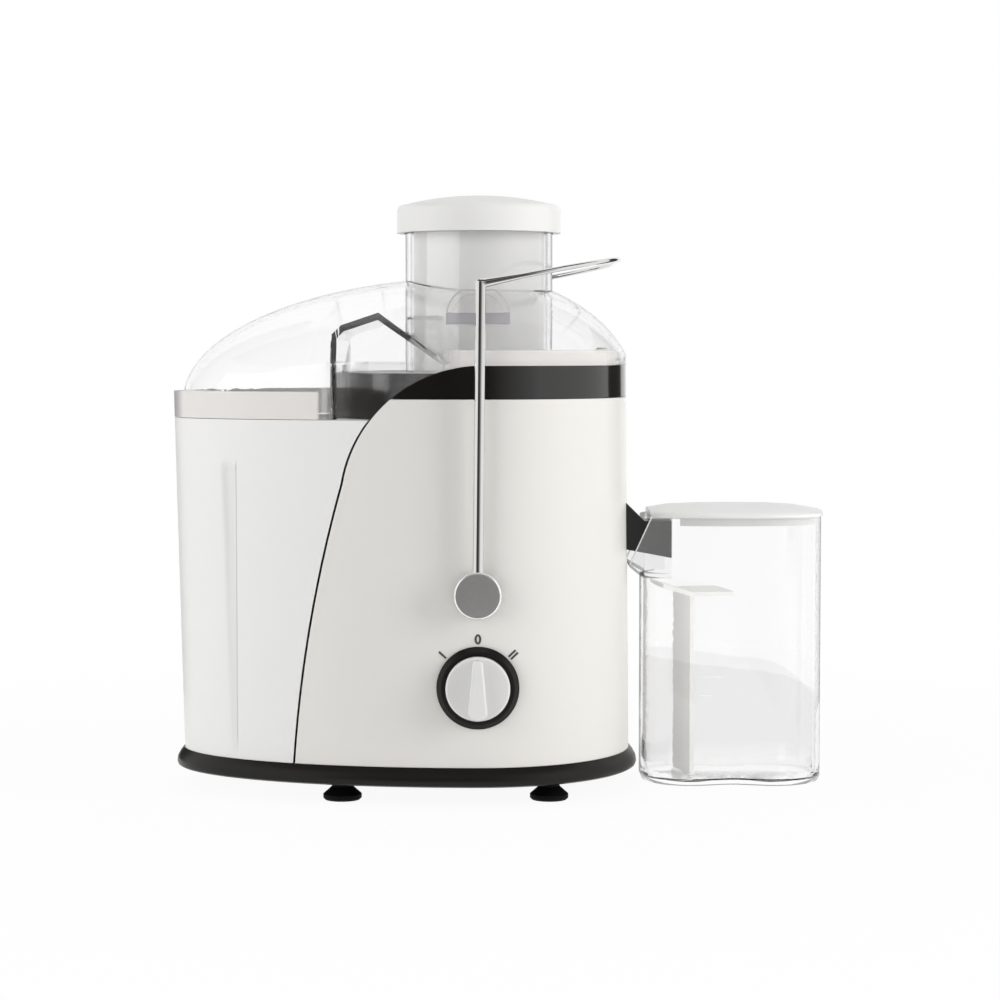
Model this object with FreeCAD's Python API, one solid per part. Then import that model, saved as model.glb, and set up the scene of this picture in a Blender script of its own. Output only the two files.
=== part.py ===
import FreeCAD, Part
import math
import os

V = FreeCAD.Vector
UP = V(0, 0, 1)
BACK = V(0, 1, 0)

# All sizes are millimetres. The work frame has its origin on the table under the motor axis;
# +X points to the jug, -Y to the front with the knob, +Z up.

# Clearances
RUN_FIT = 0.05         # radial play of a turning shaft or pin in its hole
SLIP_FIT = 0.4         # play round a piece that lifts or slides away
SEAM_GAP = 1.2         # open line between the housing and the pulp container
SPIN_GAP = 0.6         # air round the spinning motor and basket pieces
SEAT_GAP = 0.1         # air between two curved faces that seat on each other
PAST = 1.0             # how far a cutting block runs past the face it opens
FAR = 400.0            # reach of the blocks that trim whole regions

# Body: the plan is a half circle on the right and a half ellipse on the left
BODY_R = 80.2          # radius at the bowl rim
BODY_DRAFT = 2.0       # growth of that radius down to the base
LEFT_REACH = 167.1     # motor axis to the left end at the bowl rim
LEFT_DRAFT = 5.2       # loss of reach down to the base
WALL = 2.2             # moulded wall of housing, container and bowl
BASE_BOTTOM = 10.2
BASE_TOP = 20.3
BASE_FLARE = 4.3       # how far the base stands out at its widest
# Side of the base, from below: part of its height, part of its flare
BASE_CURVE = ((0.0, 0.55), (0.08, 0.86), (0.24, 1.0), (0.5, 0.9), (0.77, 0.55), (1.0, 0.14))
BASE_FLOOR = 3.0
DECK_TOP = 126.5       # shelf that carries the bowl, with the motor under it
DECK_THICK = 2.5
BOWL_RIM = 229.5
BAND_HEIGHT = 17.5     # black collar of the bowl above the housing
HOUSING_TOP = BOWL_RIM - BAND_HEIGHT
CONTAINER_RIM = BOWL_RIM - 28.5

# Seam between housing and container, as parts of the body radius and of the rim height
SEAM_FOOT = (-1.174, 0.0)
SEAM_LOW_MID = (-1.042, 0.40)
SEAM_KNEE = (-0.858, 0.705)
SEAM_HIGH_MID = (-0.524, 0.926)
SEAM_TOP = (-0.025, 1.0)

# Feet and base fasteners
FOOT_R = 10.2
FOOT_NECK_R = 5.6
FOOT_RIM = 3.0
FOOT_X = (-72.0, 37.5)
FOOT_INSET = 24.0      # foot centre in from the body radius
POST_R = 5.5
POST_TOP = BASE_TOP + 23.7
BASE_POST_X = (-50.0, 54.0)
POST_EDGE = 5.0        # post centre in from the outer wall
SCREW_R = 1.5
SCREW_HEAD_R = 3.4
SCREW_HEAD = 1.8
SCREW_SINK = 1.9       # how deep the base screw heads sit in the floor
SCREW_LENGTH = 18.0
VENT_WIDTH = 4.0
VENT_LENGTH = 60.0
VENT_PITCH = 9.0
VENT_COUNT = 7

# Bowl, spout and basket
BOWL_R = BODY_R - WALL - SLIP_FIT
BOWL_STEP = 0.6        # upper wall of the bowl set in from the lower wall
PORT_DROP = 4.0        # rim of the bowl lowered on the side of the pulp container
COLLAR_IN_R = 12.5
COLLAR_R = 15.0
COLLAR_RISE = 29.0
SPOUT_HALF = 11.5
SPOUT_WALL = 1.8
SPOUT_TIP_X = BODY_R + 25.0
SPOUT_DROP_X = BODY_R + 10.0
SPOUT_FOOT = DECK_TOP + 2.5
SPOUT_HEAD = DECK_TOP + 27.8
SPOUT_TIP_LOW = DECK_TOP - 2.2
SPOUT_TIP_HIGH = DECK_TOP + 18.0
BASKET_R = BOWL_R - 6.1
GRATER_R = 46.0
HUB_BOTTOM = DECK_TOP + 33.5
HUB_THICK = 3.0
MESH_THICK = 0.7
BASKET_TOP = BOWL_RIM - 3.5
BASKET_RIM_HEIGHT = 8.0
GRATER_THICK = 1.2
TOOTH_RINGS = 4
TOOTH_STEP = 9.0
TOOTH_HEIGHT = 1.6
TOOTH_R = 1.3

# Lid, feed chute and pusher
LID_WALL = 2.4
DOME_RISE = 66.8
DOME_TOP = BOWL_RIM + 47.8
DOME_MIDDLE = DOME_TOP - DOME_RISE
DOME_LEFT = LEFT_REACH - 5.4
DOME_RIGHT = BODY_R + 6.2
DOME_HALF = BODY_R + 6.0
SKIRT_TOP = CONTAINER_RIM + 14.5
LIP_DEPTH = 5.0
CHUTE_R = 40.0
CHUTE_WALL = 2.6
CHUTE_TOP = DOME_TOP + 26.2
CHUTE_BOTTOM = HUB_BOTTOM + 14.0
PUSHER_GAP = 1.8
PUSHER_R = CHUTE_R - CHUTE_WALL - PUSHER_GAP
PUSHER_BOTTOM = CHUTE_BOTTOM + 26.0
CAP_OVERHANG = 4.6     # how far the cap reaches past the chute
CAP_R = CHUTE_R + CAP_OVERHANG
CAP_SKIRT = 2.5        # how far the cap hangs over the chute rim
CAP_SIDE = 15.2
CAP_CROWN = 5.2
CAP_ROUND = 3.0
LEDGE_HALF = 16.3
LEDGE_BOTTOM = DOME_TOP - 26.0
LEDGE_TOP = DOME_TOP - 8.4
LEDGE_FLOOR = 5.5

# Pulp hood inside the lid: X, and height above the bowl rim
HOOD_WALL = 3.2
HOOD_LEFT_X = -BOWL_R + 0.6
HOOD_PATH = ((HOOD_LEFT_X, 15.5), (HOOD_LEFT_X + 5.0, 20.5), (-CHUTE_R - 12.5, 27.0),
             (-CHUTE_R + 25.0, 1.0))

# Locking bail
WIRE_R = 2.8           # upright rods
LOOP_ROOT_R = 2.6      # loop where it leaves the rods
LOOP_WIRE_R = 1.35     # loop past its taper
BAIL_Y = BODY_R + 8.0
PIVOT_DROP = 15.5      # pivot below the bowl shelf
PIVOT_Z = DECK_TOP - PIVOT_DROP
BAIL_CORNER_Z = DOME_TOP - 5.5
BAIL_LEAN = 1.6        # tops of the rods lean to the right
BAIL_RISE = 13.7
BAIL_REACH = 74.5
BAIL_LOOP_R = 52.0
DISC_R = 12.3
DISC_THICK = 7.6
DISC_EDGE = 1.2
PIN_R = 4.0
PIN_INSIDE = 14.2      # how far the pin reaches in from the body radius
PIN_END = BODY_R - PIN_INSIDE
BUSH_R = 6.4
BUSH_FLANGE_R = 8.6
CLIP_R = 6.2
CLIP_THICK = 1.2
CAM_R = 9.0
CAM_THICK = 4.0
CAM_LOBE = 5.0

# Speed knob
KNOB_Z = 62.2
KNOB_R = 16.8
BEZEL_RING = 4.8       # how far the bezel shows round the knob
BEZEL_R = KNOB_R + BEZEL_RING
BEZEL_STAND = 3.4
BEZEL_BEVEL = 2.5      # sloping outer part of the bezel
KNOB_GAP = 0.5
KNOB_FACE = 5.0
GRIP_HEIGHT = 7.5
GRIP_WIDE = 5.0        # half width at the lower end
GRIP_NARROW = 2.7      # half width at the upper end
GRIP_ROUND = 3.6       # height of the round at the lower end
SPINDLE_R = 3.6
SWITCH_HALF = 15.0
SWITCH_DEPTH = 20.0
SWITCH_BACK = 3.0      # wall face to switch front

# Motor under the deck
DECK_POST = 4.0
DAMPER_R = 6.0
DAMPER_HEIGHT = 4.0
MOUNT_HALF = 31.0
BRACKET_HALF = 38.0
BRACKET_THICK = 2.5
BRACKET_UPPER_TOP = DECK_TOP - DECK_THICK - DECK_POST - DAMPER_HEIGHT
BRACKET_LOWER_BOTTOM = BASE_TOP + 13.0
BEARING_R = 9.5
BEARING_HEIGHT = 7.0
SHAFT_R = 4.0
SHAFT_TOP = HUB_BOTTOM - 2.0
SHAFT_BOTTOM = BASE_TOP + 10.0
STATOR_HALF = 32.0
STATOR_BOTTOM = BASE_TOP + 40.0
STATOR_HEIGHT = 34.0
STATOR_BORE = 19.0
TIE_R = 2.0
SLEEVE_R = 3.4
TIE_HALF = 26.0
COIL_HEIGHT = 6.5
COIL_DEPTH = 7.0
COIL_HALF = 20.0
ARMATURE_R = STATOR_BORE - SPIN_GAP
WINDING_R = 14.5
WINDING_HEIGHT = 6.0
COMMUTATOR_R = 10.0
COMMUTATOR_HEIGHT = 10.0
BRUSH_HALF = 2.6
BRUSH_LENGTH = 9.0
BRUSH_CASE = 1.4
FAN_R = 27.0
FAN_HEIGHT = 9.0
FAN_BLADES = 12
FAN_PLATE = 1.6
COUPLING_R = 10.4
COUPLING_BOTTOM = DECK_TOP + 5.0
SEAL_R = 17.0
SEAL_HEIGHT = 3.0
GLAND_R = 8.0
GLAND_BORE = 3.6
GLAND_STAND = 13.5
GLAND_Z = 40.0

# Jug beside the body
JUG_GAP = 8.8          # body radius to the jug wall
JUG_HALF_LONG = 49.8
JUG_X = BODY_R + JUG_GAP + JUG_HALF_LONG
JUG_Y = 14.0
JUG_HALF_DEEP = 36.5
JUG_SQUARE = 0.68      # power of the outline, 1 is a plain ellipse
JUG_WAIST = 0.20       # part of the depth taken by the hand grip at the foot
JUG_WAIST_REACH = 17.0
JUG_WALL = 2.2
JUG_FLOOR = 3.0
JUG_ROUND = 3.2
JUG_RIM = SPOUT_TIP_HIGH + 2.3
NOTCH_Y = 5.0          # middle of the notch for the spout
NOTCH_HALF = 20.0
NOTCH_BOTTOM = SPOUT_TIP_LOW - 5.4
BEAK_GAP = 0.75        # beak tip to the housing wall
BEAK_WALL = 2.2
BEAK_ROOT = 15.0       # how far the side plates of the beak run along the jug
JUG_LID_OVER = 1.2
JUG_LID_EDGE = 2.6
JUG_LID_CROWN = 3.4
JUG_LID_PLUG = 4.6
SEPARATOR_IN = 24.2    # jug wall to the middle of the separator
SEPARATOR_X = BODY_R + JUG_GAP + SEPARATOR_IN
SEPARATOR_TURN = 11.0
SEPARATOR_DROP = 19.3  # shelf of the separator below the spout tip
SEPARATOR_TOP = SPOUT_TIP_LOW - SEPARATOR_DROP
SEPARATOR_PLATE = 2.4
SEPARATOR_LEFT = 16.0
SEPARATOR_SLOPE = 5.0  # rise of the left wing
SEPARATOR_RIGHT = 24.0
SEPARATOR_HALF = 19.0
OUTLINE_POINTS = 40

# Container finger groove
GROOVE_X = -128.3      # steep right edge
GROOVE_SLANT = 0.75    # part of the width taken by the slanting left face
GROOVE_STATIONS = ((BASE_TOP + 3.2, 0.0, 4.0, 0.8), (CONTAINER_RIM - 28.5, 0.0, 9.4, 1.4),
                   (CONTAINER_RIM - 24.5, 1.2, 8.2, 0.9), (CONTAINER_RIM - 22.5, 3.2, 6.2, 0.1))


def block(x_low, x_high, y_low, y_high, z_low, z_high):
    """Box between two corners."""
    return Part.makeBox(x_high - x_low, y_high - y_low, z_high - z_low, V(x_low, y_low, z_low))


def rod(radius, z_low, z_high, x=0.0, y=0.0):
    """Upright cylinder."""
    return Part.makeCylinder(radius, z_high - z_low, V(x, y, z_low))


def rod_back(radius, y_low, y_high, x, z):
    """Cylinder along Y."""
    return Part.makeCylinder(radius, y_high - y_low, V(x, y_low, z), BACK)


def ring(outer, inner, z_low, z_high, x=0.0, y=0.0):
    """Upright tube."""
    hole = rod(inner, z_low - PAST, z_high + PAST, x, y)
    return rod(outer, z_low, z_high, x, y).cut(hole)


def turned(points):
    """Solid of revolution about Z from (radius, height) points."""
    corners = [V(radius, 0, z) for radius, z in points]
    face = Part.Face(Part.makePolygon(corners + corners[:1]))
    return face.revolve(V(0, 0, 0), UP, 360)


def slab(points, y_low, y_high):
    """Prism along Y from (x, z) points."""
    corners = [V(x, y_low, z) for x, z in points]
    face = Part.Face(Part.makePolygon(corners + corners[:1]))
    return face.extrude(V(0, y_high - y_low, 0))


def joined(first, others):
    """One solid from overlapping solids."""
    return first.multiFuse(others).removeSplitter()


def body_radius(z):
    """Half depth of the body at a height."""
    return BODY_R + BODY_DRAFT * (BOWL_RIM - z) / (BOWL_RIM - BASE_TOP)


def body_reach(z):
    """Reach of the body to the left at a height."""
    return LEFT_REACH - LEFT_DRAFT * (BOWL_RIM - z) / (BOWL_RIM - BASE_TOP)


def egg_wire(radius, reach, z):
    """Closed plan outline: half circle on the right, half ellipse on the left."""
    circle = Part.Circle(V(0, 0, z), UP, radius)
    ellipse = Part.Ellipse(V(0, 0, z), reach, radius)
    right = Part.ArcOfCircle(circle, -math.pi / 2, math.pi / 2).toShape()
    left = Part.ArcOfEllipse(ellipse, math.pi / 2, 3 * math.pi / 2).toShape()
    return Part.Wire([right, left])


def body_block(inset, z_low, z_high):
    """Body column between two heights, set in by a wall."""
    wires = [egg_wire(body_radius(z) - inset, body_reach(z) - inset, z) for z in (z_low, z_high)]
    return Part.makeLoft(wires, True, True)


def seam_region(shift):
    """Everything right of the seam and under the bowl rim; the shift moves the seam along X."""
    rise = BOWL_RIM - BASE_TOP
    stations = (SEAM_FOOT, SEAM_LOW_MID, SEAM_KNEE, SEAM_HIGH_MID, SEAM_TOP)
    points = [V(x * body_radius(BASE_TOP) + shift, -FAR, BASE_TOP + z * rise) for x, z in stations]
    foot, low_mid, knee, high_mid, top = points
    right_top = V(FAR, -FAR, BOWL_RIM)
    right_low = V(FAR, -FAR, -FAR)
    left_low = V(foot.x, -FAR, -FAR)
    edges = [
        Part.Arc(foot, low_mid, knee).toShape(),
        Part.Arc(knee, high_mid, top).toShape(),
        Part.makeLine(top, right_top),
        Part.makeLine(right_top, right_low),
        Part.makeLine(right_low, left_low),
        Part.makeLine(left_low, foot),
    ]
    return Part.Face(Part.Wire(edges)).extrude(V(0, 2 * FAR, 0))


def housing_wall():
    """Skin of the housing with a seat gap on both faces, to trim what seats on it."""
    outer = body_block(-SEAT_GAP, BASE_TOP, HOUSING_TOP)
    return outer.cut(body_block(WALL + SEAT_GAP, BASE_TOP, HOUSING_TOP))


def base_posts():
    """Centres of the four screw posts that hold the base."""
    left_x, right_x = BASE_POST_X
    radius = body_radius(BASE_TOP) - POST_EDGE - WALL / 2
    left_y = radius * math.sqrt(1 - (left_x / body_reach(BASE_TOP)) ** 2)
    right_y = math.sqrt(radius**2 - right_x**2)
    return [(x, side * y) for x, y in ((left_x, left_y), (right_x, right_y)) for side in (-1, 1)]


def foot_places():
    """Centres of the four feet."""
    y = body_radius(BASE_TOP) - FOOT_INSET
    return [(x, side * y) for x in FOOT_X for side in (-1, 1)]


def base_tray():
    """Flared base: an open tray under the motor and a raised seat under the container."""
    wires = []
    for level, share in BASE_CURVE:
        flare = share * BASE_FLARE
        height = BASE_BOTTOM + level * (BASE_TOP - BASE_BOTTOM)
        wires.append(egg_wire(body_radius(BASE_TOP) + flare, body_reach(BASE_TOP) + flare, height))
    tray = Part.makeLoft(wires, True, True)
    well = body_block(WALL + SLIP_FIT, BASE_BOTTOM + BASE_FLOOR, BASE_TOP + PAST)
    tray = tray.cut(well.common(seam_region(WALL)))
    under = body_block(2 * WALL, BASE_BOTTOM - PAST, BASE_TOP - BASE_FLOOR)
    tray = tray.cut(under.cut(seam_region(-WALL)))
    for index in range(VENT_COUNT):
        y = (index - (VENT_COUNT - 1) / 2) * VENT_PITCH
        slot = block(-VENT_LENGTH / 2, VENT_LENGTH / 2, y - VENT_WIDTH / 2, y + VENT_WIDTH / 2,
                     BASE_BOTTOM - PAST, BASE_BOTTOM + BASE_FLOOR + PAST)
        tray = tray.cut(slot)
    for x, y in base_posts():
        tray = tray.cut(rod(SCREW_R + RUN_FIT, 0, BASE_TOP, x, y))
        tray = tray.cut(rod(SCREW_HEAD_R + SLIP_FIT, 0, BASE_BOTTOM + SCREW_SINK, x, y))
        tray = tray.cut(rod(POST_R + SLIP_FIT, BASE_BOTTOM + BASE_FLOOR, BASE_TOP + PAST, x, y))
    for x, y in foot_places():
        tray = tray.cut(rod(FOOT_NECK_R, 0, BASE_BOTTOM + BASE_FLOOR / 2, x, y))
    return tray


def foot(x, y):
    """Flared rubber foot with a stub pressed up into the base."""
    neck = FOOT_NECK_R
    profile = [(0, 0), (FOOT_R - 1, 0), (FOOT_R, 1), (FOOT_R, FOOT_RIM), (neck + 1.2, 2 * FOOT_RIM),
               (neck, BASE_BOTTOM - FOOT_RIM), (neck, BASE_BOTTOM + BASE_FLOOR / 2),
               (0, BASE_BOTTOM + BASE_FLOOR / 2)]
    body = turned(profile)
    body.translate(V(x, y, 0))
    return body


def screw(x, y, seat, length, upward):
    """Pan-head screw whose head sits on the seat height."""
    turn = 1 if upward else -1
    head = rod(SCREW_HEAD_R, min(seat, seat - turn * SCREW_HEAD), max(seat, seat - turn * SCREW_HEAD), x, y)
    shank = rod(SCREW_R, min(seat, seat + turn * length), max(seat, seat + turn * length), x, y)
    return joined(head, [shank])


def base_screws():
    """Four screws through the base into the housing posts."""
    seat = BASE_BOTTOM + SCREW_SINK
    screws = [screw(x, y, seat, SCREW_LENGTH, True) for x, y in base_posts()]
    return Part.makeCompound(screws)


def motor_mounts():
    """Centres of the four deck posts that carry the motor."""
    return [(x, y) for x in (-MOUNT_HALF, MOUNT_HALF) for y in (-MOUNT_HALF, MOUNT_HALF)]


def motor_housing():
    """Outer shell with the deck, its posts and every opening in its wall."""
    shell = body_block(0, BASE_TOP, HOUSING_TOP).common(seam_region(0))
    room = body_block(WALL, BASE_TOP - PAST, HOUSING_TOP + PAST)
    shell = shell.cut(room.common(seam_region(WALL * 1.1)))
    deck = body_block(WALL / 2, DECK_TOP - DECK_THICK, DECK_TOP).common(seam_region(WALL / 2))
    posts = [rod(POST_R, BASE_BOTTOM + BASE_FLOOR, POST_TOP, x, y) for x, y in base_posts()]
    deck_low = DECK_TOP - DECK_THICK
    posts += [rod(DAMPER_R, deck_low - DECK_POST, deck_low + PAST, x, y) for x, y in motor_mounts()]
    shell = joined(shell, [deck] + posts)
    shell = shell.cut(rod(BOWL_R + SLIP_FIT, DECK_TOP, HOUSING_TOP + PAST))
    shell = shell.cut(rod(COLLAR_IN_R, deck_low - PAST, DECK_TOP + PAST))
    for x, y in base_posts():
        shell = shell.cut(rod(SCREW_R, 0, BASE_BOTTOM + SCREW_SINK + SCREW_LENGTH, x, y))
    for x, y in motor_mounts():
        shell = shell.cut(rod(SCREW_R, 0, deck_low + DECK_THICK / 2, x, y))
    shell = shell.cut(rod_back(BUSH_R, -FAR, FAR, 0, PIVOT_Z))
    shell = shell.cut(rod_back(SPINDLE_R + SLIP_FIT, -FAR, 0, 0, KNOB_Z))
    shell = shell.cut(rod_back(GLAND_R - WALL, 0, FAR, 0, GLAND_Z))
    gap = SLIP_FIT
    return shell.cut(block(BOWL_R - PAST, FAR, -SPOUT_HALF - gap, SPOUT_HALF + gap,
                           SPOUT_FOOT - gap, SPOUT_HEAD + gap))


def cord_gland():
    """Inlet bush at the back; the bore is open because no cord is shown."""
    y = body_radius(GLAND_Z)
    flange = rod_back(GLAND_R, y - WALL, y + 3, 0, GLAND_Z).cut(body_block(-SEAT_GAP, BASE_TOP, HOUSING_TOP))
    stem = rod_back(GLAND_R - WALL, y - 2 * WALL, y + GLAND_STAND, 0, GLAND_Z)
    bore = rod_back(GLAND_BORE, y - FAR, y + FAR, 0, GLAND_Z)
    return joined(flange, [stem]).cut(bore)


def groove_cutter(side):
    """Long tapering groove in the container wall: stations of height, right and left edge, and depth."""
    wires = []
    for z, right, left, depth in GROOVE_STATIONS:
        reach = body_reach(z)
        half = body_radius(z)
        level = math.sqrt(1 - (GROOVE_X / reach) ** 2)
        skin = V(GROOVE_X, side * half * level, z)
        outward = V(GROOVE_X / reach**2, side * level / half, 0).normalize()
        along = UP.cross(outward) * side
        turn = left - GROOVE_SLANT * (left - right)
        outline = ((right, PAST), (right, -depth), (turn, -depth), (left, 0), (left, PAST))
        points = [skin + along * run + outward * out for run, out in outline]
        wires.append(Part.makePolygon(points + points[:1]))
    return Part.makeLoft(wires, True, True)


def pulp_container():
    """Open bin left of the seam, hollowed at its right for the bowl."""
    bin_body = body_block(0, BASE_TOP, CONTAINER_RIM).cut(seam_region(-SEAM_GAP))
    hollow_wall = BOWL_R + SEAM_GAP
    bin_body = bin_body.cut(rod(hollow_wall, DECK_TOP, BOWL_RIM))
    room = body_block(WALL, BASE_TOP + WALL, CONTAINER_RIM + PAST)
    room = room.cut(seam_region(-SEAM_GAP - WALL * 1.1))
    room = room.cut(rod(hollow_wall + WALL, BASE_TOP, BOWL_RIM))
    bin_body = bin_body.cut(room)
    for side in (-1, 1):
        bin_body = bin_body.cut(groove_cutter(side))
    return bin_body


def juice_bowl():
    """Black bowl on the deck, with the collar band that shows above the housing."""
    inner = BOWL_R - WALL
    floor_top = DECK_TOP + DECK_THICK
    step = HOUSING_TOP + 1.6
    port_rim = BOWL_RIM - PORT_DROP
    wall = ring(BOWL_R, inner, DECK_TOP, step)
    upper = ring(BOWL_R - BOWL_STEP, inner, step, port_rim)
    high = ring(BOWL_R - BOWL_STEP, inner, port_rim, BOWL_RIM).common(seam_region(0))
    floor = ring(BOWL_R, COLLAR_IN_R, DECK_TOP, floor_top)
    collar = ring(COLLAR_R, COLLAR_IN_R, DECK_TOP, DECK_TOP + COLLAR_RISE)
    band = body_block(0, HOUSING_TOP + SLIP_FIT, BOWL_RIM).common(seam_region(0))
    under = body_block(WALL, HOUSING_TOP - PAST, BOWL_RIM - WALL).common(seam_region(WALL * 1.1))
    band = band.cut(under).cut(rod(BOWL_R - BOWL_STEP, HOUSING_TOP - PAST, BOWL_RIM + PAST))
    bowl = joined(floor, [wall, upper, high, collar, band])
    outlet = block(inner - 4 * WALL, FAR, SPOUT_WALL - SPOUT_HALF, SPOUT_HALF - SPOUT_WALL,
                   floor_top, SPOUT_HEAD - 2 * SPOUT_WALL)
    outlet = outlet.common(rod(BOWL_R + PAST, floor_top, SPOUT_HEAD))
    return bowl.cut(outlet)


def juice_spout():
    """Plug-in spout: a sloping duct from the bowl outlet to the jug."""
    root = BOWL_R - 2 * WALL
    outer = [(root, SPOUT_FOOT), (BODY_R, SPOUT_FOOT), (SPOUT_TIP_X, SPOUT_TIP_LOW),
             (SPOUT_TIP_X, SPOUT_TIP_HIGH), (SPOUT_DROP_X, SPOUT_TIP_HIGH), (BODY_R, SPOUT_HEAD),
             (root, SPOUT_HEAD)]
    duct = slab(outer, -SPOUT_HALF, SPOUT_HALF).cut(rod(BOWL_R + RUN_FIT, 0, BOWL_RIM))
    low = SPOUT_FOOT + SPOUT_WALL
    neck_half = SPOUT_HALF - SPOUT_WALL - RUN_FIT
    neck_top = SPOUT_HEAD - 2 * SPOUT_WALL - RUN_FIT
    neck = block(root, BODY_R, -neck_half, neck_half, SPOUT_FOOT + RUN_FIT, neck_top)
    neck = neck.cut(rod(BOWL_R - WALL, 0, BOWL_RIM))
    bore = [(0, low), (BODY_R, low), (SPOUT_TIP_X + PAST, SPOUT_TIP_LOW + SPOUT_WALL),
            (SPOUT_TIP_X + PAST, SPOUT_TIP_HIGH - SPOUT_WALL), (SPOUT_DROP_X, SPOUT_TIP_HIGH - SPOUT_WALL),
            (BODY_R, neck_top - SPOUT_WALL), (0, neck_top - SPOUT_WALL)]
    bore_half = neck_half - SPOUT_WALL
    return joined(duct, [neck]).cut(slab(bore, -bore_half, bore_half))


def half_ellipsoid(reach, half, rise, side):
    """Half of an ellipsoid on one side of the motor axis."""
    scale = FreeCAD.Matrix()
    scale.scale(V(reach / FAR, half / FAR, rise / FAR))
    ball = Part.makeSphere(FAR)
    ball.rotate(V(0, 0, 0), UP, 90 + side * 90)
    ball = ball.transformGeometry(scale)
    ball.translate(V(0, 0, DOME_MIDDLE))
    keep = block(min(0, side * FAR), max(0, side * FAR), -FAR, FAR, 0, FAR)
    return ball.common(keep)


def dome(inset):
    """Egg-shaped dome, set in by a wall."""
    half = DOME_HALF - inset
    rise = DOME_RISE - inset
    left = half_ellipsoid(DOME_LEFT - inset, half, rise, -1)
    right = half_ellipsoid(DOME_RIGHT - inset, half, rise, 1)
    return left.fuse(right).removeSplitter()


def lid_space(inset):
    """Room inside the lid, set in by a wall."""
    low = CONTAINER_RIM - PAST
    room = dome(inset).common(body_block(inset, low, DOME_TOP))
    return room.fuse(body_block(inset, low, SKIRT_TOP - inset)).removeSplitter()


def lock_ledge(side):
    """Round-topped pocket in front of the chute, under the bail, on one side."""
    face_y = BAIL_Y - WIRE_R - RUN_FIT * 10
    low, high = sorted((side * face_y, side * CHUTE_R))
    arch_z = LEDGE_TOP - LEDGE_HALF + LID_WALL
    outer = rod_back(LEDGE_HALF, low, high, 0, arch_z)
    outer = outer.fuse(block(-LEDGE_HALF, LEDGE_HALF, low, high, LEDGE_BOTTOM, arch_z))
    outer = outer.common(block(-FAR, FAR, low, high, LEDGE_BOTTOM, LEDGE_TOP))
    inner = rod_back(LEDGE_HALF - LID_WALL, -FAR, FAR, 0, arch_z - LID_WALL / 2)
    inner = inner.common(block(-FAR, FAR, -FAR, FAR, LEDGE_BOTTOM + LEDGE_FLOOR, LEDGE_TOP - LID_WALL))
    return outer.cut(inner)


def lid_cover():
    """Clear dome over bowl and container, with its skirt, inner lip and two ledges."""
    skirt_low = CONTAINER_RIM + SLIP_FIT
    cover = dome(0).common(body_block(0, skirt_low, DOME_TOP + PAST))
    cover = cover.fuse(body_block(0, skirt_low, SKIRT_TOP))
    cover = cover.multiFuse([lock_ledge(side) for side in (-1, 1)])
    cover = cover.cut(lid_space(LID_WALL))
    cover = cover.cut(seam_region(-SLIP_FIT))
    lip_r = BOWL_R - WALL - SLIP_FIT
    lip = ring(lip_r, lip_r - LID_WALL, BOWL_RIM - LIP_DEPTH, BOWL_RIM + LID_WALL)
    lip = lip.common(block(0, FAR, -FAR, FAR, 0, FAR))
    shelf = ring(BODY_R - LID_WALL / 2, lip_r - LID_WALL, BOWL_RIM, BOWL_RIM + LID_WALL)
    shelf = shelf.common(block(0, FAR, -FAR, FAR, 0, FAR))
    cover = joined(cover, [lip, shelf])
    return cover.cut(rod(CHUTE_R + RUN_FIT, CHUTE_BOTTOM, CHUTE_TOP))


def feed_chute():
    """Clear tube through the dome, down into the basket."""
    return ring(CHUTE_R, CHUTE_R - CHUTE_WALL, CHUTE_BOTTOM, CHUTE_TOP)


def pulp_hood():
    """Angled guide inside the lid that turns the pulp down into the container."""
    low = CONTAINER_RIM + SLIP_FIT
    path = [(HOOD_LEFT_X, low)]
    path += [(x, BOWL_RIM + rise) for x, rise in HOOD_PATH]
    inner = [(HOOD_LEFT_X + HOOD_WALL, low)]
    inner += [(HOOD_LEFT_X + HOOD_WALL, BOWL_RIM + HOOD_PATH[0][1] - HOOD_WALL / 2)]
    inner += [(HOOD_PATH[1][0] + HOOD_WALL / 2, BOWL_RIM + HOOD_PATH[1][1] - HOOD_WALL)]
    inner += [(HOOD_PATH[2][0], BOWL_RIM + HOOD_PATH[2][1] - 1.2 * HOOD_WALL)]
    inner += [(HOOD_PATH[3][0] - 1.3 * HOOD_WALL, BOWL_RIM + HOOD_PATH[3][1])]
    guide = slab(path + inner[::-1], -FAR, FAR)
    guide = guide.common(lid_space(LID_WALL + SEAT_GAP)).cut(rod(CHUTE_R + SEAT_GAP, 0, CHUTE_TOP))
    return guide.cut(rod(BOWL_R + SLIP_FIT, 0, BOWL_RIM))


def pusher_body():
    """Hollow pusher in the chute."""
    top = CHUTE_TOP + RUN_FIT * 6
    shell = rod(PUSHER_R, PUSHER_BOTTOM, top)
    return shell.cut(rod(PUSHER_R - WALL, PUSHER_BOTTOM + WALL, top + PAST))


def pusher_cap():
    """Wide domed cap that hangs over the chute rim."""
    low = CHUTE_TOP - CAP_SKIRT
    ceiling = CHUTE_TOP + RUN_FIT * 6
    shoulder = low + CAP_SIDE
    side = rod(CAP_R, low, shoulder)
    side = side.makeFillet(CAP_ROUND, [edge for edge in side.Edges if edge.BoundBox.ZMin > shoulder - 0.1])
    crown_r = CAP_R - CAP_ROUND
    ball_r = (crown_r**2 + CAP_CROWN**2) / (2 * CAP_CROWN)
    crown = Part.makeSphere(ball_r, V(0, 0, shoulder + CAP_CROWN - ball_r))
    crown = crown.common(rod(crown_r, shoulder - PAST, shoulder + CAP_CROWN + PAST))
    cap = joined(side, [crown])
    cap = cap.cut(rod(CHUTE_R + 2 * SLIP_FIT, low - PAST, ceiling))
    plug_r = PUSHER_R - WALL - RUN_FIT
    plug = ring(plug_r, plug_r - WALL, ceiling - 2 * CAP_SKIRT, ceiling + PAST)
    return joined(cap, [plug])


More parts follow.
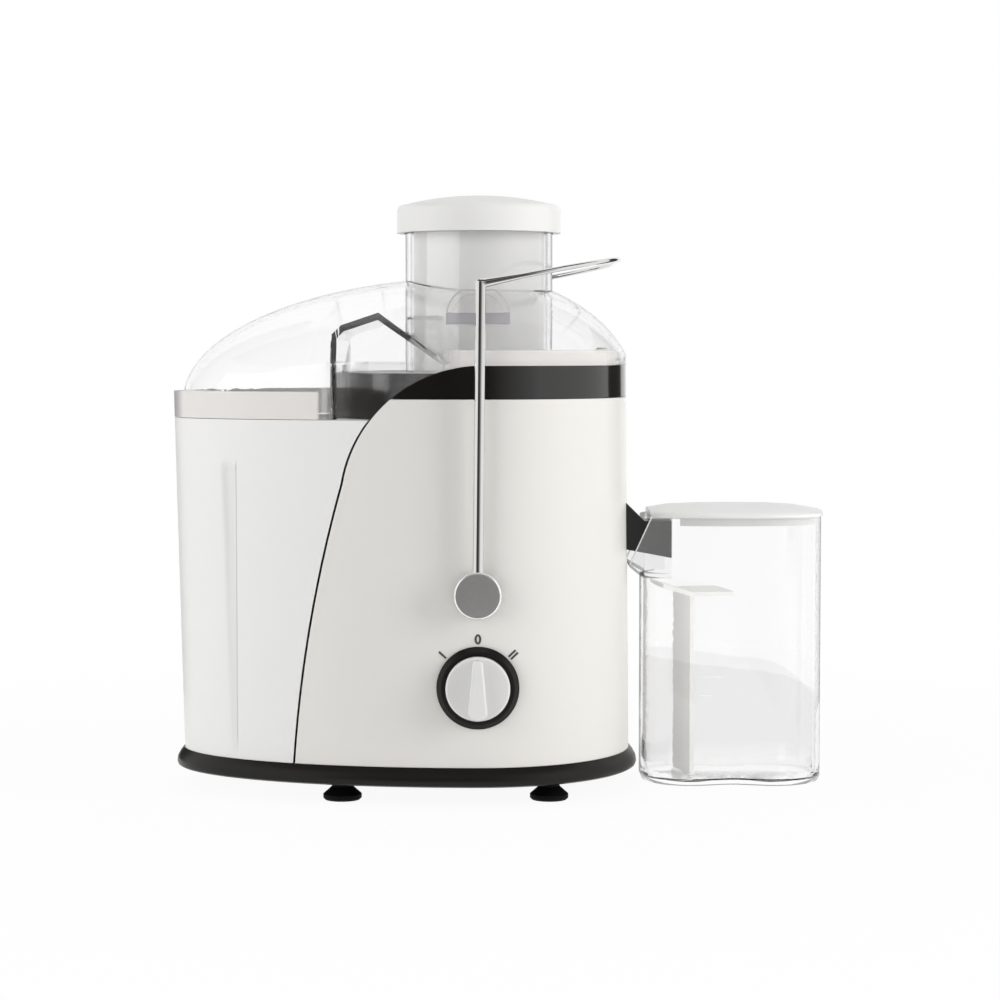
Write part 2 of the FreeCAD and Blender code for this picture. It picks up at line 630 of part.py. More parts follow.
def rounded_path(points, radii):
    """Wire through the points with a tangent arc at every inner corner."""
    edges = []
    start = points[0]
    for before, corner, after, radius in zip(points, points[1:], points[2:], radii):
        arrive = (before - corner).normalize()
        leave = (after - corner).normalize()
        half = arrive.getAngle(leave) / 2
        setback = radius / math.tan(half)
        middle = (arrive + leave).normalize() * (radius / math.sin(half) - radius)
        edges.append(Part.makeLine(start, corner + arrive * setback))
        edges.append(Part.Arc(corner + arrive * setback, corner + middle, corner + leave * setback).toShape())
        start = corner + leave * setback
    edges.append(Part.makeLine(start, points[-1]))
    return Part.Wire(edges)


def bail_handle():
    """Two upright rods with round tops, and a loop that tapers thinner and leans over the lid to the right."""
    loop_z = BAIL_CORNER_Z + BAIL_RISE
    points = [V(BAIL_LEAN, -BAIL_Y, BAIL_CORNER_Z), V(BAIL_REACH, -BAIL_Y, loop_z),
              V(BAIL_REACH, BAIL_Y, loop_z), V(BAIL_LEAN, BAIL_Y, BAIL_CORNER_Z)]
    limb, *bends, _ = rounded_path(points, (BAIL_LOOP_R, BAIL_LOOP_R)).OrderedEdges
    along = points[1] - points[0]
    taper = Part.makeCone(LOOP_ROOT_R, LOOP_WIRE_R, limb.Length, points[0], along)
    profile = Part.Wire(Part.makeCircle(LOOP_WIRE_R, limb.Vertexes[-1].Point, along))
    loop = Part.Wire(bends).makePipeShell([profile], True, False)
    rods = [taper, taper.mirror(V(0, 0, 0), V(0, 1, 0))]
    for side in (-1, 1):
        foot = V(0, side * BAIL_Y, PIVOT_Z)
        lean = V(BAIL_LEAN, side * BAIL_Y, BAIL_CORNER_Z) - foot
        upright = Part.makeCylinder(WIRE_R, lean.Length + WIRE_R, foot, lean)
        top_edges = [edge for edge in upright.Edges if edge.BoundBox.ZMin > BAIL_CORNER_Z]
        rods.append(upright.makeFillet(WIRE_R * 0.85, top_edges))
    return joined(loop, rods)


def pivot_cap(side, wire):
    """Round cover on the pivot that grips the end of the wire."""
    near = BAIL_Y - DISC_THICK / 2
    low, high = sorted((side * near, side * (near + DISC_THICK)))
    disc = rod_back(DISC_R, low, high, 0, PIVOT_Z)
    face = [edge for edge in disc.Edges if abs(edge.BoundBox.YMin - edge.BoundBox.YMax) < RUN_FIT]
    outer = [edge for edge in face if abs(abs(edge.BoundBox.YMin) - near - DISC_THICK) < RUN_FIT]
    return disc.makeFillet(DISC_EDGE, outer).cut(wire)


def pivot_pin(side):
    """Pin from the cover through the housing wall."""
    low, high = sorted((side * PIN_END, side * (BAIL_Y - DISC_THICK / 2)))
    return rod_back(PIN_R, low, high, 0, PIVOT_Z)


def pivot_bush(side):
    """Flanged bush in the housing wall."""
    wall_y = body_radius(PIVOT_Z)
    low, high = sorted((side * (wall_y - 2 * WALL), side * (BAIL_Y - DISC_THICK / 2 - SLIP_FIT)))
    flange_low, flange_high = sorted((side * (wall_y - WALL), side * (BAIL_Y - DISC_THICK / 2 - SLIP_FIT)))
    flange = rod_back(BUSH_FLANGE_R, flange_low, flange_high, 0, PIVOT_Z)
    flange = flange.cut(body_block(-SEAT_GAP, BASE_TOP, HOUSING_TOP))
    bush = joined(rod_back(BUSH_R, low, high, 0, PIVOT_Z), [flange])
    return bush.cut(rod_back(PIN_R + RUN_FIT, -FAR, FAR, 0, PIVOT_Z))


def pivot_clips():
    """Spring washers that keep the pins in the wall."""
    far = body_radius(PIVOT_Z) - 2 * WALL - SLIP_FIT
    clips = []
    for side in (-1, 1):
        low, high = sorted((side * far, side * (far - CLIP_THICK)))
        clip = rod_back(CLIP_R, low, high, 0, PIVOT_Z)
        clips.append(clip.cut(rod_back(PIN_R, -FAR, FAR, 0, PIVOT_Z)))
    return Part.makeCompound(clips)


def interlock_cam():
    """Cam on the front pin that works the safety switch."""
    low = -PIN_END - CAM_THICK - PAST
    high = -PIN_END - PAST
    disc = rod_back(PIN_R + WALL, low, high, 0, PIVOT_Z)
    lobe = block(-CAM_LOBE / 2, CAM_LOBE / 2, low, high, PIVOT_Z - CAM_R, PIVOT_Z)
    return joined(disc, [lobe]).cut(rod_back(PIN_R, -FAR, FAR, 0, PIVOT_Z))


def interlock_switch():
    """Small switch on the front wall below the cam."""
    top = PIVOT_Z - CAM_R - SLIP_FIT - PAST
    inner = body_radius(PIVOT_Z) - WALL
    body = block(-10, 10, -inner - PAST, -PIN_END, top - 12, top - 1)
    body = body.cut(housing_wall())
    button = block(-1.5, 1.5, -PIN_END - CAM_THICK, -PIN_END - PAST, top - 2, top)
    return joined(body, [button])


def knob_bezel():
    """Black ring seated on the curved front."""
    wall_y = body_radius(KNOB_Z)
    ring_body = rod_back(BEZEL_R, -wall_y - BEZEL_STAND, -wall_y + 2 * WALL, 0, KNOB_Z)
    face = [edge for edge in ring_body.Edges if edge.BoundBox.YMax < -wall_y - BEZEL_STAND + RUN_FIT]
    ring_body = ring_body.makeChamfer(BEZEL_BEVEL, face)
    ring_body = ring_body.cut(body_block(-SEAT_GAP, BASE_TOP, HOUSING_TOP))
    dish = rod_back(KNOB_R + KNOB_GAP, -FAR, -wall_y - PAST, 0, KNOB_Z)
    return ring_body.cut(dish).cut(rod_back(SPINDLE_R + SLIP_FIT, -FAR, 0, 0, KNOB_Z))


def speed_knob():
    """Round knob with a raised tapering grip that points up at rest."""
    back = -body_radius(KNOB_Z) - PAST - KNOB_GAP
    front = back - KNOB_FACE
    disc = rod_back(KNOB_R, front, back, 0, KNOB_Z)
    face = [edge for edge in disc.Edges if edge.BoundBox.YMax < front + RUN_FIT]
    disc = disc.makeFillet(DISC_EDGE, face)
    reach = KNOB_R - PAST
    tip = V(0, front, KNOB_Z + reach)
    tail = V(0, front, KNOB_Z - reach)
    tip_ends = [V(side * GRIP_NARROW, front, tip.z - GRIP_NARROW) for side in (-1, 1)]
    tail_ends = [V(side * GRIP_WIDE, front, tail.z + GRIP_ROUND) for side in (-1, 1)]
    outline = Part.Wire([
        Part.Arc(tip_ends[0], tip, tip_ends[1]).toShape(),
        Part.makeLine(tip_ends[1], tail_ends[1]),
        Part.Arc(tail_ends[1], tail, tail_ends[0]).toShape(),
        Part.makeLine(tail_ends[0], tip_ends[0]),
    ])
    grip = Part.Face(outline).extrude(V(0, -GRIP_HEIGHT, 0))
    crest = [edge for edge in grip.Edges if edge.BoundBox.YMax < front - GRIP_HEIGHT + RUN_FIT]
    grip = grip.makeFillet(DISC_EDGE, crest)
    root = Part.Face(outline).extrude(V(0, PAST, 0))
    return joined(disc, [grip, root])


def knob_spindle():
    """Shaft from the knob to the switch."""
    back = -body_radius(KNOB_Z) - PAST - KNOB_GAP
    return rod_back(SPINDLE_R, back, -body_radius(KNOB_Z) + WALL + SWITCH_BACK + 4, 0, KNOB_Z)


def rotary_switch():
    """Speed switch behind the knob."""
    front = -body_radius(KNOB_Z) + WALL
    body = block(-SWITCH_HALF, SWITCH_HALF, front + SWITCH_BACK, front + SWITCH_BACK + SWITCH_DEPTH,
                 KNOB_Z - SWITCH_HALF, KNOB_Z + SWITCH_HALF)
    neck = rod_back(SPINDLE_R + 2 * WALL, front - WALL / 2, front + SWITCH_BACK + PAST, 0, KNOB_Z)
    neck = neck.cut(housing_wall())
    return joined(body, [neck]).cut(rod_back(SPINDLE_R + RUN_FIT, -FAR, front + SWITCH_BACK + 5, 0, KNOB_Z))


def motor_bracket(low, bearing_low):
    """Square plate that carries one shaft bearing."""
    half = BRACKET_HALF
    plate = block(-half, half, -half, half, low, low + BRACKET_THICK)
    seat = ring(BEARING_R + WALL, BEARING_R, bearing_low, bearing_low + BEARING_HEIGHT)
    plate = joined(plate.cut(rod(BEARING_R, 0, FAR)), [seat])
    for x, y in tie_places():
        plate = plate.cut(rod(TIE_R, 0, FAR, x, y))
    for x, y in motor_mounts():
        plate = plate.cut(rod(SCREW_R + RUN_FIT, 0, FAR, x, y))
    return plate


def tie_places():
    """Centres of the long bolts through the motor."""
    return [(x, y) for x in (-TIE_HALF, TIE_HALF) for y in (-TIE_HALF, TIE_HALF)]


def tie_bolts():
    """Four long bolts that clamp brackets and stator."""
    low = BRACKET_LOWER_BOTTOM
    bolts = []
    for x, y in tie_places():
        shank = rod(TIE_R, low - SCREW_HEAD, BRACKET_UPPER_TOP, x, y)
        bolts.append(joined(shank, [rod(SCREW_HEAD_R, low - SCREW_HEAD, low, x, y)]))
    return Part.makeCompound(bolts)


def motor_spacers():
    """Sleeves on the long bolts that hold the stator between the brackets."""
    sleeves = []
    for x, y in tie_places():
        below = BRACKET_LOWER_BOTTOM + BRACKET_THICK
        above = STATOR_BOTTOM + STATOR_HEIGHT
        sleeves.append(ring(SLEEVE_R, TIE_R, below, STATOR_BOTTOM, x, y))
        sleeves.append(ring(SLEEVE_R, TIE_R, above, BRACKET_UPPER_TOP - BRACKET_THICK, x, y))
    return Part.makeCompound(sleeves)


def motor_dampers():
    """Rubber pads between motor and deck."""
    low = BRACKET_UPPER_TOP
    return Part.makeCompound([ring(DAMPER_R, SCREW_R, low, low + DAMPER_HEIGHT, x, y) for x, y in motor_mounts()])


def motor_screws():
    """Screws up through the pads into the deck posts."""
    seat = BRACKET_UPPER_TOP - BRACKET_THICK
    length = BRACKET_THICK + DAMPER_HEIGHT + DECK_POST
    return Part.makeCompound([screw(x, y, seat, length, True) for x, y in motor_mounts()])


def stator_core():
    """Square stack of laminations with a round bore."""
    half = STATOR_HALF
    top = STATOR_BOTTOM + STATOR_HEIGHT
    core = block(-half, half, -half, half, STATOR_BOTTOM, top).cut(rod(STATOR_BORE, 0, FAR))
    for x, y in tie_places():
        core = core.cut(rod(TIE_R, 0, FAR, x, y))
    return core


def stator_coils():
    """Four coil heads over and under the stack, beside the bore."""
    coils = []
    top = STATOR_BOTTOM + STATOR_HEIGHT
    for side in (-1, 1):
        low_y, high_y = sorted((side * (STATOR_BORE + PAST), side * (STATOR_BORE + PAST + COIL_DEPTH)))
        for z in (STATOR_BOTTOM - COIL_HEIGHT, top):
            coil = block(-COIL_HALF, COIL_HALF, low_y, high_y, z, z + COIL_HEIGHT)
            upright = [edge for edge in coil.Edges if edge.BoundBox.ZLength > COIL_HEIGHT / 2]
            coils.append(coil.makeFillet(COIL_DEPTH / 3, upright))
    return Part.makeCompound(coils)


def bearing(low):
    """Plain bearing bush."""
    return ring(BEARING_R, SHAFT_R + RUN_FIT, low, low + BEARING_HEIGHT)


def motor_shaft():
    """Shaft from the lower bearing up to the basket drive."""
    return rod(SHAFT_R, SHAFT_BOTTOM, SHAFT_TOP)


def armature_core():
    """Slotted iron on the shaft inside the stator."""
    core = ring(ARMATURE_R, SHAFT_R, STATOR_BOTTOM, STATOR_BOTTOM + STATOR_HEIGHT)
    for index in range(FAN_BLADES):
        slot = block(ARMATURE_R - 4, ARMATURE_R + PAST, -0.8, 0.8, 0, FAR)
        slot.rotate(V(0, 0, 0), UP, 360 * index / FAN_BLADES)
        core = core.cut(slot)
    return core


def armature_windings():
    """Copper heads at both ends of the armature."""
    top = STATOR_BOTTOM + STATOR_HEIGHT
    heads = [ring(WINDING_R, SHAFT_R, STATOR_BOTTOM - WINDING_HEIGHT, STATOR_BOTTOM),
             ring(WINDING_R, SHAFT_R, top, top + WINDING_HEIGHT)]
    return Part.makeCompound(heads)


def commutator():
    """Copper contact drum under the armature."""
    high = STATOR_BOTTOM - WINDING_HEIGHT
    return ring(COMMUTATOR_R, SHAFT_R, high - COMMUTATOR_HEIGHT, high)


def brush_height():
    """Middle height of the commutator."""
    return STATOR_BOTTOM - WINDING_HEIGHT - COMMUTATOR_HEIGHT / 2


def carbon_brushes():
    """Two brushes that touch the commutator from left and right."""
    z = brush_height()
    start = COMMUTATOR_R + RUN_FIT
    brush = block(start, start + BRUSH_LENGTH, -BRUSH_HALF, BRUSH_HALF, z - BRUSH_HALF, z + BRUSH_HALF)
    brush = brush.cut(rod(start, 0, FAR))
    other = brush.copy()
    other.rotate(V(0, 0, 0), UP, 180)
    return Part.makeCompound([brush, other])


def brush_holders():
    """Cases round the brushes, standing on the lower bracket."""
    z = brush_height()
    half = BRUSH_HALF + BRUSH_CASE
    start = COMMUTATOR_R + 2
    end = COMMUTATOR_R + BRUSH_LENGTH + 4
    low = BRACKET_LOWER_BOTTOM + BRACKET_THICK
    case = block(start, end, -half, half, low, z + half)
    case = case.cut(block(0, COMMUTATOR_R + BRUSH_LENGTH + RUN_FIT, -BRUSH_HALF, BRUSH_HALF,
                          z - BRUSH_HALF, z + BRUSH_HALF))
    other = case.copy()
    other.rotate(V(0, 0, 0), UP, 180)
    return Part.makeCompound([case, other])


def cooling_fan():
    """Radial fan on the shaft above the armature."""
    high = BRACKET_UPPER_TOP - BRACKET_THICK - 2 * PAST - SPIN_GAP
    low = high - FAN_HEIGHT
    hub = rod(SHAFT_R + 2 * WALL, low, high)
    plate = rod(FAN_R, high - FAN_PLATE, high)
    blades = []
    for index in range(FAN_BLADES):
        blade = block(SHAFT_R + WALL, FAN_R, -FAN_PLATE / 2, FAN_PLATE / 2, low, high)
        blade.rotate(V(0, 0, 0), UP, 360 * index / FAN_BLADES)
        blades.append(blade)
    return joined(plate, [hub] + blades).cut(rod(SHAFT_R, 0, FAR))


def deck_seal():
    """Rubber ring in the deck hole round the shaft."""
    plug = ring(COLLAR_IN_R, SHAFT_R + SLIP_FIT, DECK_TOP - DECK_THICK, DECK_TOP)
    flange = ring(SEAL_R, SHAFT_R + SLIP_FIT, DECK_TOP - DECK_THICK - SEAL_HEIGHT, DECK_TOP - DECK_THICK)
    return joined(plug, [flange])


def drive_coupling():
    """Splined drive on the shaft end."""
    body = rod(COUPLING_R, COUPLING_BOTTOM, SHAFT_TOP)
    for index in range(6):
        spline = rod(1.6, COUPLING_BOTTOM + HUB_THICK, SHAFT_TOP + PAST, COUPLING_R, 0)
        spline.rotate(V(0, 0, 0), UP, 60 * index)
        body = body.cut(spline)
    return body.cut(rod(SHAFT_R, 0, FAR))


def basket_hub():
    """Floor of the basket with its drive socket and drip skirt."""
    high = HUB_BOTTOM + HUB_THICK
    plate = rod(GRATER_R, HUB_BOTTOM, high)
    socket = ring(COUPLING_R + 1.5, COUPLING_R + RUN_FIT, COUPLING_BOTTOM + 2 * HUB_THICK, HUB_BOTTOM + PAST)
    skirt_low = DECK_TOP + COLLAR_RISE - 10
    skirt = ring(COLLAR_R + 4 * WALL / 2, COLLAR_R + WALL, skirt_low, HUB_BOTTOM + PAST)
    return joined(plate, [socket, skirt])


def grater_disc():
    """Steel disc with rows of small raised teeth."""
    low = HUB_BOTTOM + HUB_THICK
    high = low + GRATER_THICK
    disc = rod(GRATER_R, low, high)
    teeth = []
    for row in range(1, TOOTH_RINGS + 1):
        count = 6 * row
        for index in range(count):
            angle = 2 * math.pi * (index + row / 2) / count
            place = V(row * TOOTH_STEP * math.cos(angle), row * TOOTH_STEP * math.sin(angle), high - RUN_FIT)
            teeth.append(Part.makeCone(TOOTH_R, TOOTH_R / 4, TOOTH_HEIGHT, place))
    return disc.multiFuse(teeth)


def filter_mesh():
    """Flaring steel wall of the basket."""
    low = HUB_BOTTOM
    high = BASKET_TOP - BASKET_RIM_HEIGHT
    foot_r = GRATER_R
    top_r = BASKET_R - 2 * WALL
    thick = MESH_THICK
    return turned([(foot_r, low), (foot_r + thick, low), (foot_r + thick, low + HUB_THICK),
                   (top_r + thick, high), (top_r, high), (foot_r, low + HUB_THICK)])


def basket_rim():
    """Plastic ring round the top of the basket."""
    low = BASKET_TOP - BASKET_RIM_HEIGHT
    inner = BASKET_R - 2 * WALL
    rim = turned([(inner, low), (BASKET_R - PAST, low), (BASKET_R, low + PAST), (BASKET_R, BASKET_TOP - PAST),
                  (BASKET_R - PAST, BASKET_TOP), (inner + PAST, BASKET_TOP), (inner, BASKET_TOP - PAST)])
    return rim


def jug_wire(inset, waist, z):
    """Closed jug outline: a rounded oval whose middle is drawn in by the waist part."""
    points = []
    for index in range(OUTLINE_POINTS):
        angle = 2 * math.pi * index / OUTLINE_POINTS
        run = math.copysign(abs(math.cos(angle)) ** JUG_SQUARE, math.cos(angle))
        deep = math.copysign(abs(math.sin(angle)) ** JUG_SQUARE, math.sin(angle))
        x = (JUG_HALF_LONG - inset) * run
        grip = 1 - waist * math.exp(-((x / JUG_WAIST_REACH) ** 2))
        points.append(V(JUG_X + x, JUG_Y + (JUG_HALF_DEEP * grip - inset) * deep, z))
    curve = Part.BSplineCurve()
    curve.interpolate(points, PeriodicFlag=True)
    return Part.Wire(curve.toShape())


def jug_block(inset, floor, top):
    """Jug column with a rounded foot; the waist fades out towards the rim."""
    stations = [(0, JUG_ROUND), (0.28 * JUG_ROUND, 0.3 * JUG_ROUND), (JUG_ROUND, 0), (top - floor, 0)]
    wires = []
    for rise, step_in in stations:
        waist = JUG_WAIST * max(0.0, 1 - (floor + rise) / JUG_RIM)
        wires.append(jug_wire(inset + step_in, waist, floor + rise))
    return Part.makeLoft(wires, True, True)


def juice_jug():
    """Clear jug with an open notch and a beak under the spout."""
    jug = jug_block(0, 0, JUG_RIM)
    left = JUG_X - JUG_HALF_LONG
    wall_x = left + 2 * JUG_WALL
    y_low = NOTCH_Y - NOTCH_HALF
    y_high = NOTCH_Y + NOTCH_HALF
    beak_low = NOTCH_BOTTOM - 5
    tip_z = SPOUT_TIP_LOW - 2.4
    tip_x = body_radius(tip_z) + BEAK_GAP
    profile = [(left + BEAK_ROOT, beak_low), (left, beak_low), (tip_x, tip_z - BEAK_WALL),
               (tip_x, tip_z), (wall_x, JUG_RIM), (left + BEAK_ROOT, JUG_RIM)]
    jug = jug.fuse(slab(profile, y_low - BEAK_WALL, y_high + BEAK_WALL)).removeSplitter()
    jug = jug.cut(jug_block(JUG_WALL, JUG_FLOOR, JUG_RIM + PAST))
    trough = [(left + BEAK_ROOT + PAST, beak_low + BEAK_WALL), (left + BEAK_WALL, beak_low + BEAK_WALL),
              (tip_x - PAST, tip_z), (tip_x - PAST, JUG_RIM + PAST),
              (left + BEAK_ROOT + PAST, JUG_RIM + PAST)]
    return jug.cut(slab(trough, y_low, y_high))


def jug_lid():
    """Domed lid that rests on the jug rim and leaves the notch free."""
    over = -JUG_LID_OVER
    low = JUG_RIM
    edge = low + JUG_LID_EDGE
    stations = [(over, low), (over, edge - PAST), (over + PAST, edge),
                (JUG_HALF_LONG / 4, edge + JUG_LID_CROWN * 0.7), (JUG_HALF_LONG / 2, edge + JUG_LID_CROWN)]
    lid = Part.makeLoft([jug_wire(inset, 0, z) for inset, z in stations], True, True)
    gap = JUG_WALL + 2 * SLIP_FIT
    plug = Part.makeLoft([jug_wire(gap, 0, z) for z in (low - JUG_LID_PLUG, low + PAST)], True, True)
    hole = Part.makeLoft([jug_wire(gap + JUG_WALL, 0, z) for z in (low - JUG_LID_PLUG - PAST, low)], True, True)
    left = JUG_X - JUG_HALF_LONG
    way = block(left - FAR, SPOUT_TIP_X + 2 * WALL, NOTCH_Y - NOTCH_HALF - BEAK_WALL - SLIP_FIT,
                NOTCH_Y + NOTCH_HALF + BEAK_WALL + SLIP_FIT, low - FAR, low)
    lid = joined(lid, [plug.cut(hole).cut(way)])
    trim = block(left - FAR, left + 2 * JUG_WALL, -FAR, FAR, 0, FAR)
    return lid.cut(trim)


def foam_separator():
    """Upright plate with a shelf on top, standing in the jug."""
    low = JUG_FLOOR
    half = SEPARATOR_HALF
    plate = block(-SEPARATOR_PLATE / 2, SEPARATOR_PLATE / 2, -half, half, low, SEPARATOR_TOP)
    under = SEPARATOR_TOP - SEPARATOR_PLATE
    outline = [(SEPARATOR_RIGHT, under), (SEPARATOR_RIGHT, SEPARATOR_TOP), (0, SEPARATOR_TOP),
               (-SEPARATOR_LEFT, SEPARATOR_TOP + SEPARATOR_SLOPE), (-SEPARATOR_LEFT, under + SEPARATOR_SLOPE),
               (0, under)]
    body = joined(plate, [slab(outline, -half, half)])
    body.rotate(V(0, 0, 0), UP, SEPARATOR_TURN)
    body.translate(V(SEPARATOR_X, JUG_Y, 0))
    return body


def build_nodes():
    """Every node of the juicer by name, in the work frame."""
    nodes = {"base_tray": base_tray(), "base_screws": base_screws()}
    for name, place in zip(("front_left", "rear_left", "front_right", "rear_right"), foot_places()):
        nodes["foot_" + name] = foot(*place)
    nodes["motor_housing"] = motor_housing()
    nodes["cord_gland"] = cord_gland()
    nodes["pulp_container"] = pulp_container()
    nodes["juice_bowl"] = juice_bowl()
    nodes["juice_spout"] = juice_spout()
    nodes["deck_seal"] = deck_seal()
    nodes["lid_cover"] = lid_cover()
    nodes["feed_chute"] = feed_chute()
    nodes["pulp_hood"] = pulp_hood()
    nodes["pusher_body"] = pusher_body()
    nodes["pusher_cap"] = pusher_cap()
    nodes["bail_handle"] = bail_handle()
    for name, side in (("front", -1), ("rear", 1)):
        nodes["pivot_cap_" + name] = pivot_cap(side, nodes["bail_handle"])
        nodes["pivot_pin_" + name] = pivot_pin(side)
        nodes["pivot_bush_" + name] = pivot_bush(side)
    nodes["pivot_clips"] = pivot_clips()
    nodes["interlock_cam"] = interlock_cam()
    nodes["interlock_switch"] = interlock_switch()
    nodes["knob_bezel"] = knob_bezel()
    nodes["speed_knob"] = speed_knob()
    nodes["knob_spindle"] = knob_spindle()
    nodes["rotary_switch"] = rotary_switch()
    upper_low = BRACKET_UPPER_TOP - BRACKET_THICK
    nodes["motor_bracket_upper"] = motor_bracket(upper_low, upper_low)
    nodes["motor_bracket_lower"] = motor_bracket(BRACKET_LOWER_BOTTOM, BRACKET_LOWER_BOTTOM - PAST)
    nodes["tie_bolts"] = tie_bolts()
    nodes["motor_spacers"] = motor_spacers()
    nodes["motor_dampers"] = motor_dampers()
    nodes["motor_screws"] = motor_screws()
    nodes["stator_core"] = stator_core()
    nodes["stator_coils"] = stator_coils()
    nodes["upper_bearing"] = bearing(upper_low)
    nodes["lower_bearing"] = bearing(BRACKET_LOWER_BOTTOM - PAST)
    nodes["motor_shaft"] = motor_shaft()
    nodes["armature_core"] = armature_core()
    nodes["armature_windings"] = armature_windings()
    nodes["commutator"] = commutator()
    nodes["carbon_brushes"] = carbon_brushes()
    nodes["brush_holders"] = brush_holders()
    nodes["cooling_fan"] = cooling_fan()
    nodes["drive_coupling"] = drive_coupling()
    nodes["basket_hub"] = basket_hub()
    nodes["grater_disc"] = grater_disc()
    nodes["filter_mesh"] = filter_mesh()
    nodes["basket_rim"] = basket_rim()
    nodes["juice_jug"] = juice_jug()
    nodes["jug_lid"] = jug_lid()
    nodes["foam_separator"] = foam_separator()
    return nodes


def main():
    """Move every node to the middle of the footprint and write it out."""
    nodes = build_nodes()
    bounds = Part.makeCompound(list(nodes.values())).optimalBoundingBox(False)
    shift = V(-bounds.Center.x, -bounds.Center.y, -bounds.ZMin)
    os.makedirs("parts", exist_ok=True)
    for name, shape in nodes.items():
        shape.translate(shift)
        shape.exportStep("parts/" + name + ".step")
        print(name, len(shape.Solids), shape.isValid(), round(shape.Volume, 1))
    print("motor axis at", round(shift.x, 4), round(shift.y, 4), "raised", round(shift.z, 4))
    print("size", round(bounds.XLength, 2), round(bounds.YLength, 2), round(bounds.ZLength, 2))


main()
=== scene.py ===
"""Looks of a compact centrifugal juicer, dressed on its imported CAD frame."""
import logging
import math
from dataclasses import dataclass
from enum import Enum
from typing import Any, Callable, Optional, Sequence, Union

import bpy
import numpy as np
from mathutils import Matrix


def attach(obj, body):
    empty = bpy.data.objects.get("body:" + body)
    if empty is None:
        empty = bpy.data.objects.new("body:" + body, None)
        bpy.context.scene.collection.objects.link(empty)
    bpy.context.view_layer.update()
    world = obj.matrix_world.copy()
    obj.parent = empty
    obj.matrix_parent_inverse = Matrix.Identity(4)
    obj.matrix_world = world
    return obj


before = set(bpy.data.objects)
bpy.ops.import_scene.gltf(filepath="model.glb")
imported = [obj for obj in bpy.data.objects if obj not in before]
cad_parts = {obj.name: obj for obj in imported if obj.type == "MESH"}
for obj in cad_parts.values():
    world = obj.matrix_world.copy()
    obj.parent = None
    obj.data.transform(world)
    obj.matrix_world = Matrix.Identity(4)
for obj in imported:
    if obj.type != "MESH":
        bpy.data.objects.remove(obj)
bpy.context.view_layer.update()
LOG = logging.getLogger("juicer")
Colour = tuple[float, float, float]
Point = tuple[float, float, float]
Pair = tuple[float, float]
Array = np.ndarray
Socket = bpy.types.NodeSocket
Material = bpy.types.Material
Tone = Union[Colour, Socket]

AXIS_X = -0.0115277  # motor axis in the row frame
AXIS_Y = 0.0001439
WHITE: Colour = (1.0, 1.0, 1.0)
WELD_GAP = 0.000002  # mesh points closer than this are one


class Ray(Enum):
    """Light-path outputs that the studio and the clear plastic tell apart."""

    CAMERA = "Is Camera Ray"
    GLOSSY = "Is Glossy Ray"
    THROUGH = "Is Transmission Ray"
    SHADOW = "Is Shadow Ray"
    SCATTERED = "Is Diffuse Ray"


class Value:
    """A shader socket that takes part in Python arithmetic."""

    def __init__(self, graph: "Graph", socket: Socket) -> None:
        """Keep the socket and the graph that owns it."""
        self.graph = graph
        self.socket = socket

    def _math(self, operation: str, *terms: "Operand") -> "Value":
        """One Math node over the terms.

        Args:
            operation: Blender's name of the operation.
            terms: sockets or numbers, in order.
        Returns:
            The node's output.
        """
        node = self.graph.node("ShaderNodeMath", {"operation": operation}, dict(enumerate(terms)))
        return Value(self.graph, node.outputs[0])

    def __add__(self, other: "Operand") -> "Value":
        """Sum."""
        return self._math("ADD", self, other)

    __radd__ = __add__

    def __sub__(self, other: "Operand") -> "Value":
        """Difference."""
        return self._math("SUBTRACT", self, other)

    def __rsub__(self, other: "Operand") -> "Value":
        """Reflected difference."""
        return self._math("SUBTRACT", other, self)

    def __mul__(self, other: "Operand") -> "Value":
        """Product."""
        return self._math("MULTIPLY", self, other)

    __rmul__ = __mul__

    def __truediv__(self, other: "Operand") -> "Value":
        """Quotient."""
        return self._math("DIVIDE", self, other)

    def fraction(self) -> "Value":
        """Part after the whole number."""
        return self._math("FRACT", self)

    def above(self, limit: "Operand") -> "Value":
        """One where the value is over the limit."""
        return self._math("GREATER_THAN", self, limit)

    def ramp(self, low: float, high: float) -> "Value":
        """Zero at the low value, one at the high value, straight between and cut off outside."""
        node = self.graph.node("ShaderNodeMapRange", {"clamp": True}, {0: self, 1: low, 2: high})
        return Value(self.graph, node.outputs[0])

    def since(self, limit: float, blur: float) -> "Value":
        """One from the limit up, falling to zero over the blur below it."""
        return self.ramp(limit - blur, limit)

    def until(self, limit: float, blur: float) -> "Value":
        """One up to the limit, falling to zero over the blur above it."""
        return self.ramp(limit + blur, limit)

    def at_most_one(self) -> "Value":
        """The value, cut off at one."""
        return self._math("MINIMUM", self, 1.0)

    def size(self) -> "Value":
        """Value without its sign."""
        return self._math("ABSOLUTE", self)

    def angle_from(self, other: "Operand") -> "Value":
        """Angle of the point (other, self), in radians."""
        return self._math("ARCTAN2", self, other)


Operand = Union[Value, float, int]


